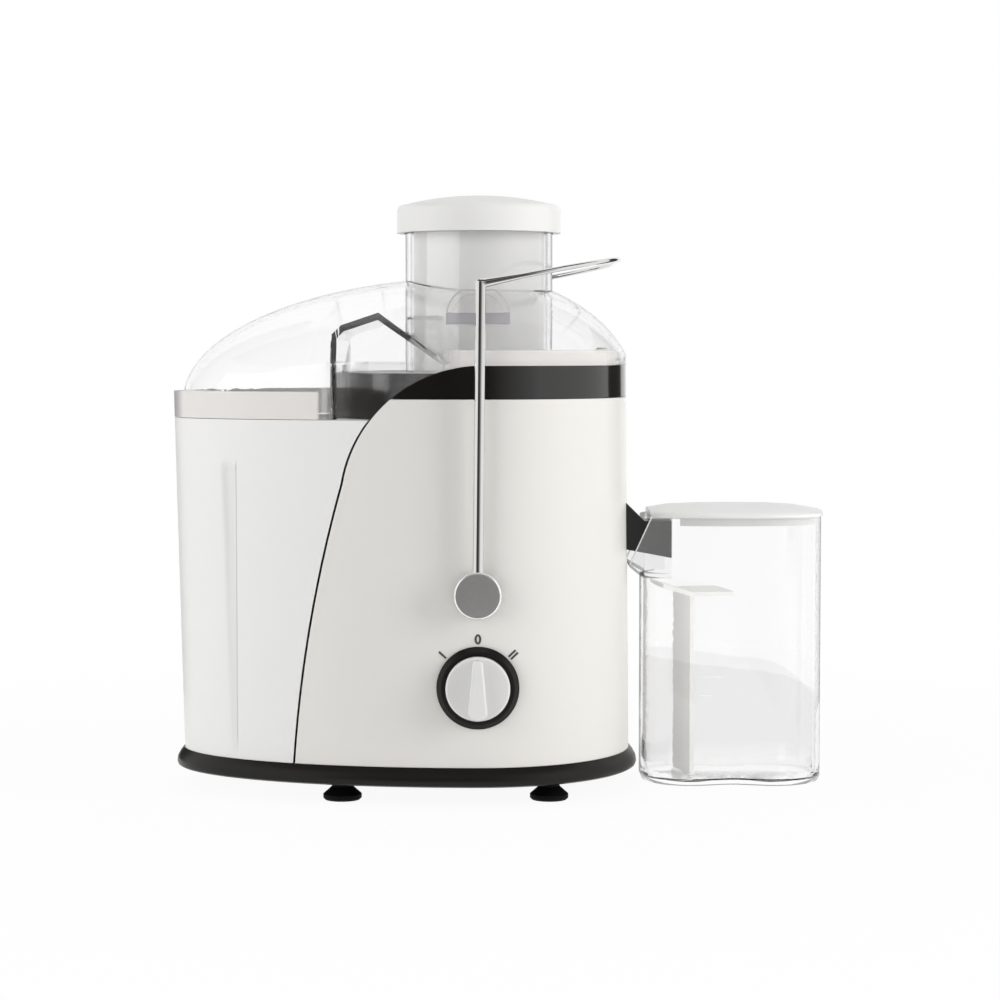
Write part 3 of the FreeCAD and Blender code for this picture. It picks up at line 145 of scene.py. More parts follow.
class Graph:
    """Node tree of one material or of the world."""

    def __init__(self, tree: bpy.types.NodeTree) -> None:
        """Start from an empty tree."""
        self.tree = tree
        tree.nodes.clear()

    def node(self, kind: str, settings: dict[str, Any], sockets: dict[Any, Any]) -> bpy.types.Node:
        """Any node with its settings and socket values.

        Args:
            kind: Blender's node type.
            settings: attributes, set first.
            sockets: socket name or index to a number, colour, Value or output socket.
        Returns:
            The node.
        """
        node = self.tree.nodes.new(kind)
        for name, setting in settings.items():
            setattr(node, name, setting)
        for name, item in sockets.items():
            target = node.inputs[name]
            if isinstance(item, Value):
                self.tree.links.new(item.socket, target)
            elif isinstance(item, Socket):
                self.tree.links.new(item, target)
            else:
                target.default_value = item
        return node

    def value(self, node: bpy.types.Node, output: Union[str, int] = 0) -> Value:
        """Output of a node as a Value."""
        return Value(self, node.outputs[output])

    def shader(self, kind: str, sockets: dict[str, Any]) -> Socket:
        """Output of a shader node."""
        return self.node(kind, {}, sockets).outputs[0]

    def principled(self, sockets: dict[str, Any]) -> Socket:
        """Output of a Principled shader."""
        return self.shader("ShaderNodeBsdfPrincipled", sockets)

    def tinted(self, kind: str, colour: Colour) -> Socket:
        """Output of a shader that has a fixed colour."""
        return self.shader(kind, {"Color": (*colour, 1.0)})

    def vector(self, operation: str, *terms: Union[Socket, Point]) -> bpy.types.Node:
        """One Vector Math node over the terms."""
        return self.node("ShaderNodeVectorMath", {"operation": operation}, dict(enumerate(terms)))

    def length(self, vector: Socket) -> Value:
        """Length of a vector."""
        return self.value(self.vector("LENGTH", vector), "Value")

    def place(self) -> Socket:
        """Object coordinates."""
        return self.node("ShaderNodeTexCoord", {}, {}).outputs["Object"]

    def parts(self) -> tuple[Value, Value, Value]:
        """X, Y and Z of the object coordinates."""
        node = self.node("ShaderNodeSeparateXYZ", {}, {"Vector": self.place()})
        return self.value(node, 0), self.value(node, 1), self.value(node, 2)

    def noise(self, scale: float, detail: float = 2.0, stretch: Point = (1.0, 1.0, 1.0)) -> Value:
        """Noise on object coordinates.

        Args:
            scale: repeats per metre.
            detail: number of octaves.
            stretch: scale along each axis, for brushed or drawn marks.
        Returns:
            Noise from 0 to 1.
        """
        mapped = self.node("ShaderNodeMapping", {}, {"Vector": self.place(), "Scale": stretch})
        sockets = {"Vector": mapped.outputs[0], "Scale": scale, "Detail": detail}
        return self.value(self.node("ShaderNodeTexNoise", {}, sockets), "Fac")

    def blend(self, factor: Operand, first: Tone, second: Tone) -> Socket:
        """Colour between two colours or colour sockets by a factor."""
        first, second = ((*tone, 1.0) if isinstance(tone, tuple) else tone for tone in (first, second))
        sockets = {"Factor": factor, 6: first, 7: second}
        return self.node("ShaderNodeMix", {"data_type": "RGBA"}, sockets).outputs[2]

    def layer(self, factor: Operand, under: Socket, over: Socket) -> Socket:
        """Shader between two shaders by a factor."""
        return self.node("ShaderNodeMixShader", {}, {"Fac": factor, 1: under, 2: over}).outputs[0]

    def bump(self, height: Value, depth: float, strength: float) -> Socket:
        """Normal from a height.

        Args:
            height: height field from 0 to 1.
            depth: metres between 0 and 1.
            strength: share of the effect.
        Returns:
            Normal socket.
        """
        sockets = {"Height": height, "Distance": depth, "Strength": strength}
        return self.node("ShaderNodeBump", {}, sockets).outputs[0]

    def seen_by(self, *rays: Ray) -> Value:
        """One for any of the rays, else zero."""
        path = self.node("ShaderNodeLightPath", {}, {})
        total = self.value(path, rays[0].value)
        for ray in rays[1:]:
            total = total + self.value(path, ray.value)
        return total.at_most_one()

    def output(self, shader: Socket, kind: str = "ShaderNodeOutputMaterial") -> None:
        """Link the last shader to the output."""
        self.node(kind, {}, {"Surface": shader})


def new_material(name: str) -> tuple[Material, Graph]:
    """Empty node material and its graph."""
    material = bpy.data.materials.new(name)
    material.use_nodes = True
    return material, Graph(material.node_tree)


Share = Callable[[Graph], Value]


@dataclass(frozen=True)
class Moulded:
    """Moulded opaque plastic: faint mottle, fine spark texture, uneven gloss, and painted shade in a
    crease.
    """

    colour: Colour
    shade: Colour
    roughness: float = 0.3
    spread: float = 0.08
    grain: float = 2600.0
    grain_depth: float = 0.00003
    grain_share: float = 0.35
    mottle: float = 9.0
    gloss_patches: float = 55.0
    coat: float = 0.0
    coat_roughness: float = 0.06
    specular: float = 0.5
    # painted shade in a crease: where it falls and its tone
    crease: Optional[Share] = None
    crease_shade_tint: Colour = (0.40, 0.39, 0.38)

    def material(self, name: str) -> Material:
        """Material with broad colour mottle, gloss variation and grain bump."""
        material, graph = new_material(name)
        tone = graph.blend(graph.noise(self.mottle, 3.0), self.colour, self.shade)
        # painted shade darkens the crease
        if self.crease is not None:
            tone = graph.blend(self.crease(graph), tone, self.crease_shade_tint)
        graph.output(graph.principled({
            "Base Color": tone,
            "Roughness": self.roughness + self.spread * (graph.noise(self.gloss_patches, 4.0) - 0.5),
            "Coat Weight": self.coat,
            "Coat Roughness": self.coat_roughness,
            "Specular IOR Level": self.specular,
            "Normal": graph.bump(graph.noise(self.grain), self.grain_depth, self.grain_share),
        }))
        return material


@dataclass(frozen=True)
class Clear:
    """Clear moulded plastic: refracts, shines and lets lamp light through.

    A painted grey reflection tints it, painted matt places scatter light in tones of shade and of what
    shows through, thin places neither bend nor mirror what is behind, and painted shade greys walls seen
    edge-on.
    """

    tint: Colour = (0.994, 0.994, 0.994)
    # painted grey reflection: where it falls and its tint
    painted_reflection: Optional[Share] = None
    painted_reflection_tint: Colour = (0.86, 0.855, 0.855)
    # painted matt places, standing for shade and for what shows through, and their tone
    satin: Optional[Share] = None
    painted_satin_tint: Colour = (0.77, 0.745, 0.715)
    satin_dim: float = 0.96
    satin_patches: float = 12.0
    satin_roughness: float = 0.35
    # painted shade on the matt places and its tone
    shaded: Optional[Share] = None
    shaded_tint: Colour = (0.40, 0.385, 0.415)
    thin: Optional[Share] = None
    thin_tint: Colour = (0.98, 0.98, 0.983)
    roughness: float = 0.012
    ior: float = 1.46
    flow_marks: float = 30.0
    flow_tint: float = 0.05
    flow_gloss: float = 0.02
    ripples: float = 26.0
    ripple_depth: float = 0.00005
    ripple_share: float = 0.5
    shadow: float = 0.92
    # painted shade: dark lines where walls are seen edge-on
    edge: float = 0.0
    edge_from: float = 0.80
    edge_shade_tint: Colour = (0.13, 0.13, 0.14)

    def _glassy(self, graph: Graph) -> Socket:
        """Refracting shader with flow marks, ripples and the painted grey reflection's tint."""
        flow = graph.noise(self.flow_marks, 3.0)
        share = self.flow_tint * flow
        if self.painted_reflection is not None:
            share = (share + self.painted_reflection(graph)).at_most_one()
        return graph.principled({
            "Base Color": graph.blend(share, self.tint, self.painted_reflection_tint),
            "Roughness": self.roughness + self.flow_gloss * flow,
            "IOR": self.ior,
            "Transmission Weight": 1.0,
            "Normal": graph.bump(graph.noise(self.ripples, 1.0), self.ripple_depth, self.ripple_share),
        })

    def _matt(self, graph: Graph) -> Socket:
        """Scattering shader of the painted matt places, darker where painted shade falls."""
        dim = tuple(self.satin_dim * part for part in self.painted_satin_tint)
        tone = graph.blend(graph.noise(self.satin_patches), self.painted_satin_tint, dim)
        if self.shaded is not None:
            tone = graph.blend(self.shaded(graph), tone, self.shaded_tint)
        return graph.principled({"Base Color": tone, "Roughness": self.satin_roughness})

    def material(self, name: str) -> Material:
        """Refracting plastic whose shadow is nearly clear."""
        material, graph = new_material(name)
        shader = self._glassy(graph)
        if self.thin is not None:
            sheet = graph.tinted("ShaderNodeBsdfTransparent", self.thin_tint)
            shader = graph.layer(self.thin(graph), shader, sheet)
        if self.satin is not None:
            shader = graph.layer(self.satin(graph), shader, self._matt(graph))
        if self.edge > 0.0:
            # painted shade: dark diffuse lines where walls are seen edge-on
            slant = graph.value(graph.node("ShaderNodeLayerWeight", {}, {"Blend": 0.5}), "Facing")
            rim = graph.tinted("ShaderNodeBsdfDiffuse", self.edge_shade_tint)
            shader = graph.layer(self.edge * slant.ramp(self.edge_from, 1.0), shader, rim)
        through = graph.tinted("ShaderNodeBsdfTransparent", (self.shadow, self.shadow, self.shadow))
        graph.output(graph.layer(graph.seen_by(Ray.SHADOW, Ray.SCATTERED), shader, through))
        return material


@dataclass(frozen=True)
class Milky:
    """Thin white plastic that some light passes through."""

    colour: Colour
    shade: Colour
    roughness: float = 0.35
    spread: float = 0.1
    gloss_patches: float = 90.0
    through: float = 0.1
    light_through: float = 0.6
    light_tint: Colour = (0.95, 0.95, 0.94)
    # painted glow: light given off though the part is no lamp
    painted_glow: float = 0.0
    flow_marks: float = 40.0
    flow_stretch: Point = (1.0, 1.0, 0.3)
    grain: float = 1800.0
    grain_depth: float = 0.00003
    grain_share: float = 0.3

    def material(self, name: str) -> Material:
        """White plastic with a share of transmitted light, faint flow lines and a painted glow."""
        material, graph = new_material(name)
        flow = graph.noise(self.flow_marks, 3.0, self.flow_stretch)
        plastic = graph.principled({
            "Base Color": graph.blend(flow, self.colour, self.shade),
            "Roughness": self.roughness + self.spread * (graph.noise(self.gloss_patches, 3.0) - 0.5),
            "Transmission Weight": self.through,
            "Emission Color": (*self.colour, 1.0),
            "Emission Strength": self.painted_glow,
            "Normal": graph.bump(graph.noise(self.grain), self.grain_depth, self.grain_share),
        })
        clear = graph.tinted("ShaderNodeBsdfTransparent", self.light_tint)
        graph.output(graph.layer(graph.seen_by(Ray.SHADOW) * self.light_through, plastic, clear))
        return material


@dataclass(frozen=True)
class Metal:
    """Bare or plated metal with drawn or turned marks."""

    colour: Colour
    dark: Colour
    roughness: float
    spread: float
    marks: float
    stretch: Point = (1.0, 1.0, 1.0)
    mark_depth: float = 0.00001
    mark_share: float = 0.4

    def material(self, name: str) -> Material:
        """Metal whose gloss and tone vary along its marks."""
        material, graph = new_material(name)
        marks = graph.noise(self.marks, 3.0, self.stretch)
        graph.output(graph.principled({
            "Base Color": graph.blend(marks, self.colour, self.dark),
            "Metallic": 1.0,
            "Roughness": self.roughness + self.spread * marks,
            "Normal": graph.bump(marks, self.mark_depth, self.mark_share),
        }))
        return material


@dataclass(frozen=True)
class Turned:
    """Satin metal face with rings about an axis along Y, and a polished rim."""

    centre: Point
    colour: Colour = (0.46, 0.455, 0.45)
    dark: Colour = (0.32, 0.315, 0.31)
    rim: float = 0.0113
    rim_blur: float = 0.0002
    rim_tone: Colour = (0.93, 0.93, 0.925)
    pitch: float = 0.00035
    ring_depth: float = 0.000012
    ring_share: float = 0.5
    patches: float = 500.0
    roughness: float = 0.34
    spread: float = 0.12
    polish: float = 0.2
    metallic: float = 0.6

    def material(self, name: str) -> Material:
        """Metal with fine turned rings: the ring number is the distance from the centre over the pitch."""
        material, graph = new_material(name)
        apart = graph.vector("SUBTRACT", graph.place(), self.centre).outputs[0]
        away = graph.length(graph.vector("MULTIPLY", apart, (1.0, 0.0, 1.0)).outputs[0])
        rings = ((away / self.pitch).fraction() - 0.5).size() * 2.0
        mix = 0.5 * rings + 0.5 * graph.noise(self.patches, 3.0)
        polished = away.ramp(self.rim, self.rim + self.rim_blur)
        graph.output(graph.principled({
            "Base Color": graph.blend(polished, graph.blend(mix, self.colour, self.dark), self.rim_tone),
            "Metallic": self.metallic,
            "Roughness": self.roughness + self.spread * mix - self.polish * polished,
            "Normal": graph.bump(rings, self.ring_depth, self.ring_share),
        }))
        return material


@dataclass(frozen=True)
class Perforated:
    """Steel sheet with fine round holes in rows round the motor axis."""

    colour: Colour = (0.55, 0.55, 0.56)
    dark: Colour = (0.35, 0.35, 0.36)
    holes_round: int = 210
    row_height: float = 0.0019
    hole: float = 0.3  # radius as a share of the spacing
    marks: float = 400.0
    roughness: float = 0.25
    spread: float = 0.15

    def material(self, name: str) -> Material:
        """Steel whose alpha is open inside each hole of an angle-by-height grid."""
        material, graph = new_material(name)
        x, y, z = graph.parts()
        across = ((y - AXIS_Y).angle_from(x - AXIS_X) * (self.holes_round / math.tau)).fraction() - 0.5
        along = (z / self.row_height).fraction() - 0.5
        marks = graph.noise(self.marks, 3.0)
        graph.output(graph.principled({
            "Base Color": graph.blend(marks, self.colour, self.dark),
            "Metallic": 1.0,
            "Roughness": self.roughness + self.spread * marks,
            "Alpha": (across * across + along * along).above(self.hole**2),
        }))
        return material


def grid_points(x: Array, y: Array, z: Array) -> Array:
    """Points of a grid in row order, N by 3."""
    return np.stack([x, y, z], axis=-1).reshape(-1, 3)


def grid_faces(rows: int, columns: int, wrap_columns: bool = False) -> Array:
    """Quads of a grid of points in row order.

    Args:
        rows: number of rows.
        columns: number of columns.
        wrap_columns: join the last column to the first.
    Returns:
        Vertex numbers, M by 4.
    """
    row = np.arange(rows - 1)[:, None]
    column = np.arange(columns if wrap_columns else columns - 1)[None, :]
    start, below = row * columns, (row + 1) * columns
    right = (column + 1) % columns
    corners = [start + column, start + right, below + right, below + column]
    return np.stack(corners, axis=-1).reshape(-1, 4)


def new_object(name: str, points: Array, faces: Array, material: Material) -> bpy.types.Object:
    """Mesh from arrays, linked to the scene.

    Args:
        name: object name.
        points: vertex places, N by 3.
        faces: quads, M by 4.
        material: its finish.
    Returns:
        The object.
    """
    mesh = bpy.data.meshes.new(name)
    mesh.from_pydata(points.tolist(), [], faces.tolist())
    mesh.materials.append(material)
    mesh.update()
    made = bpy.data.objects.new(name, mesh)
    bpy.context.scene.collection.objects.link(made)
    return made


def smooth(mesh: bpy.types.Mesh) -> None:
    """Smooth shading on every face."""
    mesh.polygons.foreach_set("use_smooth", np.ones(len(mesh.polygons), dtype=bool))


def add_piece(made: bpy.types.Object, body: str) -> None:
    """Smooth a new piece and let it ride on a body.

    Args:
        made: the new mesh object.
        body: CAD body that carries it.
    """
    smooth(made.data)
    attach(made, body)
    LOG.info("piece %s rides on %s", made.name, body)


def dress(node: str, material: Material, sharp: float = 32.0) -> None:
    """Give a CAD node its finish and smooth shading between sharp edges.

    Args:
        node: CAD node name.
        material: its finish.
        sharp: angle over which an edge stays crisp, in degrees.
    """
    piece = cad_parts[node]
    piece.data.materials.clear()
    piece.data.materials.append(material)
    smooth(piece.data)
    weld = piece.modifiers.new("weld", "WELD")
    weld.merge_threshold = WELD_GAP
    split = piece.modifiers.new("crisp_edges", "EDGE_SPLIT")
    split.split_angle = math.radians(sharp)
    LOG.info("dressed %s", node)


def dress_all(nodes: Sequence[str], material: Material) -> None:
    """Give several CAD nodes one finish."""
    for node in nodes:
        dress(node, material)


@dataclass(frozen=True)
class Lamp:
    """Soft box that faces its aim point."""

    name: str
    place: Point
    aim: Point
    size: Pair
    watts: float
    mirrored: bool = False  # clear pieces mirror it

    def build(self) -> None:
        """Area lamp that glossy pieces don't mirror."""
        light = bpy.data.lights.new(self.name, "AREA")
        light.shape = "RECTANGLE"
        light.size, light.size_y = self.size
        light.energy = self.watts
        holder = bpy.data.objects.new(self.name, light)
        holder.location = self.place
        way = np.array(self.aim) - np.array(self.place)
        pitch = math.atan2(math.hypot(way[0], way[1]), -way[2])
        holder.rotation_euler = (pitch, 0.0, math.atan2(way[1], way[0]) - math.pi / 2)
        holder.visible_glossy = False
        holder.visible_transmission = self.mirrored
        bpy.context.scene.collection.objects.link(holder)


@dataclass(frozen=True)
class Card:
    """Dark curved card that only reflections can see.

    A profile of radius and height is turned about the upright axis: (R(v) sin a, -R(v) cos a, h(v)).
    """

    name: str
    profile: Sequence[Pair]
    ends: Pair  # first and last angle from the front, in degrees
    fade: Optional[Pair] = None  # angles between which it turns from dark to white
    dark: Colour = (0.045, 0.042, 0.038)
    less_dark: Colour = (0.075, 0.07, 0.064)
    patches: float = 2.0
    columns: int = 33

    def _material(self) -> Material:
        """Glow of the card's own dark tone, white past its fade."""
        material, graph = new_material(self.name)
        tone = graph.blend(graph.noise(self.patches), self.dark, self.less_dark)
        if self.fade is not None:
            x, y, _ = graph.parts()
            lit = x.angle_from(0.0 - y).ramp(*map(math.radians, self.fade))
            tone = graph.blend(lit, tone, WHITE)
        graph.output(graph.shader("ShaderNodeEmission", {"Color": tone, "Strength": 1.0}))
        return material

    def build(self) -> None:
        """Staged mesh that the camera, soft light, shadows and clear pieces don't see."""
        radius, height = np.array(self.profile).T
        turn = np.radians(np.linspace(*self.ends, self.columns))
        x = np.outer(radius, np.sin(turn))
        y = -np.outer(radius, np.cos(turn))
        points = grid_points(x, y, np.broadcast_to(height[:, None], x.shape))
        card = new_object(self.name, points, grid_faces(*x.shape), self._material())
        card.visible_camera = False
        card.visible_diffuse = False
        card.visible_shadow = False
        card.visible_transmission = False


@dataclass
class Studio:
    """Camera at the photograph's place, pale floor, soft lamps and dark cards."""

    eye: Point = (-0.00005, -1.45741, 0.24074)
    tilt_down: float = 3.3523
    focal_pixels: float = 2660.9
    frame_pixels: float = 1000.0
    sensor: float = 36.0
    far: float = 50.0
    floor_half: float = 6.0
    floor_drop: float = 0.0003
    floor_points: int = 9
    floor_tone: Colour = (0.86, 0.86, 0.86)
    floor_shade: Colour = (0.84, 0.84, 0.84)
    floor_patches: float = 1.5
    near_white: float = 0.93
    clear_from: float = 0.7
    fill_tint: Colour = (0.98, 0.985, 1.0)
    fill: float = 0.37
    aim: Point = (0.0, 0.0, 0.16)

    def build(self) -> None:
        """Camera, floor, world, lamps and cards."""
        scene = bpy.context.scene
        scene.view_settings.view_transform = "Standard"
        self._camera(scene)
        self._floor()
        self._world(scene)
        self._lamps()
        self._cards()

    def _camera(self, scene: bpy.types.Scene) -> None:
        """Camera that looks along +Y, tilted down."""
        camera = bpy.data.cameras.new("camera")
        camera.sensor_width = self.sensor
        camera.sensor_fit = "HORIZONTAL"
        camera.lens = self.focal_pixels / self.frame_pixels * self.sensor
        camera.clip_end = self.far
        holder = bpy.data.objects.new("camera", camera)
        holder.location = self.eye
        holder.rotation_euler = (math.radians(90.0 - self.tilt_down), 0.0, 0.0)
        scene.collection.objects.link(holder)
        scene.camera = holder

    def _floor(self) -> None:
        """Flat pale floor that is nearly white to the camera and keeps a soft shadow."""
        material, graph = new_material("floor_pale")
        tone = graph.blend(graph.noise(self.floor_patches, 3.0), self.floor_tone, self.floor_shade)
        matt = graph.shader("ShaderNodeBsdfDiffuse", {"Color": tone})
        plain = graph.shader("ShaderNodeEmission", {"Color": (*WHITE, 1.0), "Strength": 1.0})
        away = (graph.length(graph.place()) / self.clear_from).at_most_one()
        white = self.near_white + (1.0 - self.near_white) * away
        graph.output(graph.layer(graph.seen_by(Ray.CAMERA, Ray.GLOSSY, Ray.THROUGH) * white, matt, plain))
        side = np.linspace(-self.floor_half, self.floor_half, self.floor_points)
        x, y = np.meshgrid(side, side)
        points = grid_points(x, y, np.full_like(x, -self.floor_drop))
        new_object("floor", points, grid_faces(*x.shape), material)

    def _world(self, scene: bpy.types.Scene) -> None:
        """White to the camera, in reflections and through clear pieces, a soft fill otherwise."""
        world = bpy.data.worlds.new("studio")
        scene.world = world
        world.use_nodes = True
        graph = Graph(world.node_tree)
        white = graph.shader("ShaderNodeBackground", {"Color": (*WHITE, 1.0), "Strength": 1.0})
        soft = {"Color": (*self.fill_tint, 1.0), "Strength": self.fill}
        fill = graph.shader("ShaderNodeBackground", soft)
        share = graph.seen_by(Ray.CAMERA, Ray.GLOSSY, Ray.THROUGH)
        graph.output(graph.layer(share, fill, white), "ShaderNodeOutputWorld")

    def _lamps(self) -> None:
        """Tall soft boxes left and right of the camera, and a weak top light."""
        for lamp in (
            Lamp("left_box", (-1.6, -0.85, 0.62), self.aim, size=(2.2, 1.3), watts=22.0, mirrored=True),
            Lamp("right_box", (1.66, -0.68, 0.62), self.aim, size=(0.8, 1.3), watts=25.5),
            Lamp("top", (0.0, 0.3, 1.6), (0.0, 0.0, 0.1), size=(1.2, 0.8), watts=3.5),
        ):
            lamp.build()

    @staticmethod
    def _cards() -> None:
        """Dark cards before, over and beside the object, for the dark lines in chrome and black pieces."""
        floor_to_wall = ((0.34, 0.002), (0.8, 0.002), (1.4, 0.002), (1.9, 0.02), (1.9, 0.7), (1.9, 1.5))
        overhead = ((1.7, 1.5), (1.2, 1.9), (0.5, 2.1))
        low = ((0.42, 0.002), (0.42, 0.235))
        tall = ((0.42, 0.002), (0.42, 0.5))
        for card in (
            Card("front_card", floor_to_wall, ends=(-38.0, 44.0), fade=(6.0, 50.0)),
            Card("top_card", overhead, ends=(-110.0, 110.0)),
            Card("left_card", low, ends=(-138.0, -112.0)),
            Card("right_card", tall, ends=(112.0, 138.0)),
        ):
            card.build()


@dataclass
class Shell:
    """Housing, container, base and feet, with the printed dial marks."""

    radius: float = 0.0802
    draft: float = 0.0020
    reach: float = 0.1671
    reach_draft: float = 0.0052
    base_top: float = 0.0203
    rim: float = 0.2295
    dial_height: float = 0.0622
    mark_radius: float = 0.0252
    mark_length: float = 0.0050
    mark_width: float = 0.0011
    mark_apart: float = 0.8  # middle of the two bars to each, in bar widths
    mark_rise: float = 0.00012
    speed_angle: float = 47.0
    zero_radius: float = 0.0254
    zero_outer: Pair = (0.00175, 0.0027)  # half width and half height
    zero_inner: Pair = (0.0006, 0.0016)
    zero_points: int = 40
    # where the painted groove shade falls and how strong it is
    groove_x: float = -0.1283 + AXIS_X
    groove_low: float = 0.0235
    groove_high: float = 0.1760
    groove_fade: Pair = (0.01, 0.004)  # above its lower end, and past its upper end
    groove_narrow: float = 0.0035
    groove_widen: float = 0.0045
    groove_line: Pair = (0.0006, 0.0002)  # half width where the line starts and is full
    groove_line_share: float = 0.6
    groove_rise: Pair = (0.45, 0.8)  # across the slanting face, in shares of its width
    groove_fall: Pair = (1.15, 0.9)
    groove_soft_share: float = 0.24

    def _groove_shade(self, graph: Graph) -> Value:
        """Painted shade in the finger groove: a fine line at its steep edge, a soft one at its slanting
        face.
        """
        x, _, z = graph.parts()
        left = self.groove_x - x
        line = left.size().ramp(*self.groove_line)
        up = z.ramp(self.groove_low, self.groove_high)
        run = left / (self.groove_narrow + self.groove_widen * up)
        soft = run.ramp(*self.groove_rise) * run.ramp(*self.groove_fall) * up
        below, above = self.groove_fade
        tall = z.ramp(self.groove_low, self.groove_low + below) * z.until(self.groove_high, above)
        return (self.groove_line_share * line + self.groove_soft_share * soft) * tall

    def dress(self) -> None:
        """Finishes of the opaque body pieces."""
        pearl = Moulded((0.757, 0.742, 0.705), (0.745, 0.728, 0.690), roughness=0.34, spread=0.06,
                        grain=3000.0, grain_depth=0.00002, coat=0.15)
        dress("motor_housing", pearl.material("housing_pearl"))
        # container white with painted shade in its finger groove
        white = Moulded((0.800, 0.797, 0.780), (0.785, 0.782, 0.765), roughness=0.38, spread=0.06,
                        grain=2800.0, grain_depth=0.00002, crease=self._groove_shade)
        dress("pulp_container", white.material("container_white"))
        charcoal = Moulded((0.013, 0.012, 0.011), (0.010, 0.009, 0.008), roughness=0.30, spread=0.10,
                           grain=1800.0, grain_depth=0.00004, specular=0.2)
        dress("base_tray", charcoal.material("base_charcoal"))
        rubber = Moulded((0.002, 0.002, 0.002), (0.004, 0.004, 0.0037), roughness=0.66, spread=0.16,
                         grain=900.0, grain_depth=0.00008, specular=0.12)
        soft = ("foot_front_left", "foot_rear_left", "foot_front_right", "foot_rear_right", "cord_gland",
                "deck_seal", "motor_dampers")
        dress_all(soft, rubber.material("foot_rubber"))
        zinc = Metal((0.62, 0.62, 0.60), (0.45, 0.45, 0.43), roughness=0.32, spread=0.15, marks=700.0)
        plated = ("base_screws", "tie_bolts", "motor_spacers", "motor_screws", "motor_bracket_upper",
                  "motor_bracket_lower", "upper_bearing", "lower_bearing", "motor_shaft", "pivot_clips",
                  "pivot_pin_front", "pivot_pin_rear")
        dress_all(plated, zinc.material("zinc_plate"))

    def front(self, x: Array, z: Array) -> Array:
        """Depth of the front surface.

        The plan is a circle right of the motor axis and an ellipse left of it. Both change evenly from
        the rim down to the base: Y = -R(z) sqrt(1 - (x / reach(z))^2) from the axis.

        Args:
            x: row-frame X.
            z: height.
        Returns:
            Row-frame Y of the skin.
        """
        down = (self.rim - z) / (self.rim - self.base_top)
        radius = self.radius + self.draft * down
        reach = np.where(x < AXIS_X, self.reach - self.reach_draft * down, radius)
        return AXIS_Y - radius * np.sqrt(np.clip(1.0 - ((x - AXIS_X) / reach) ** 2, 0.0, 1.0))

    def _printed(self, name: str, x: Array, z: Array, closed: bool, ink: Material) -> None:
        """Flat mark on the skin from a two-sided strip.

        Args:
            name: piece name.
            x: row-frame X of the strip, one row per edge.
            z: heights of the same points.
            closed: the strip runs back to its start.
            ink: its finish.
        """
        points = grid_points(x, self.front(x, z) - self.mark_rise, z)
        add_piece(new_object(name, points, grid_faces(*x.shape, closed), ink), "body")

    def print_marks(self) -> None:
        """Zero over the knob, one bar at the left and two at the right.

        Each bar is a rectangle of given length along the ray at its angle.
        The zero is a band between two ovals.
        """
        ink = Moulded((0.060, 0.056, 0.054), (0.075, 0.070, 0.068), roughness=0.5, spread=0.1,
                      grain=4000.0, grain_depth=0.00001).material("dial_ink")
        across, along = np.meshgrid(np.linspace(-0.5, 0.5, 5), np.linspace(-0.5, 0.5, 9), indexing="ij")
        bars = (("mark_one", -1.0, 0.0), ("mark_two_left", 1.0, -self.mark_apart),
                ("mark_two_right", 1.0, self.mark_apart))
        for name, turn, offset in bars:
            angle = math.radians(turn * self.speed_angle)
            out = self.mark_radius + along * self.mark_length
            side = (across + offset) * self.mark_width
            x = AXIS_X + out * math.sin(angle) + side * math.cos(angle)
            z = self.dial_height + out * math.cos(angle) - side * math.sin(angle)
            self._printed(name, x, z, False, ink)
        turn = np.linspace(0.0, math.tau, self.zero_points, endpoint=False)
        wide, tall = np.array([self.zero_outer, self.zero_inner]).T
        x = AXIS_X + np.outer(wide, np.sin(turn))
        z = self.dial_height + self.zero_radius + np.outer(tall, np.cos(turn))
        self._printed("mark_zero", x, z, True, ink)


@dataclass
class Controls:
    """Speed knob with its bezel, and the switches behind the wall."""

    def dress(self) -> None:
        """Finishes of knob, bezel and switches."""
        silver = Moulded((0.77, 0.765, 0.75), (0.72, 0.715, 0.70), grain_depth=0.00002, coat=0.3)
        dress("speed_knob", silver.material("knob_silver"), sharp=40.0)
        black = Moulded((0.009, 0.008, 0.007), (0.013, 0.012, 0.011), roughness=0.36, spread=0.12,
                        grain=1600.0, grain_depth=0.00004, specular=0.22)
        dress_all(("knob_bezel", "rotary_switch", "interlock_switch"), black.material("bezel_black"))
        grey = Moulded((0.30, 0.30, 0.29), (0.25, 0.25, 0.24), roughness=0.5, spread=0.1,
                       grain=1500.0, grain_depth=0.00004)
        nylon = ("knob_spindle", "interlock_cam", "pivot_bush_front", "pivot_bush_rear", "cooling_fan")
        dress_all(nylon, grey.material("nylon_grey"))


@dataclass
class Bail:
    """Chrome wire and its two turned pivot covers."""

    pivot_height: float = 0.111
    half: float = 0.0882

    def dress(self) -> None:
        """Finishes of wire and covers."""
        chrome = Metal((0.78, 0.775, 0.765), (0.70, 0.70, 0.695), roughness=0.045, spread=0.03, marks=120.0,
                       stretch=(1.0, 1.0, 0.2), mark_depth=0.000004)
        dress("bail_handle", chrome.material("bail_chrome"), sharp=60.0)
        for node, side in (("pivot_cap_front", -1.0), ("pivot_cap_rear", 1.0)):
            cover = Turned((AXIS_X, AXIS_Y + side * self.half, self.pivot_height))
            dress(node, cover.material(node + "_satin"))


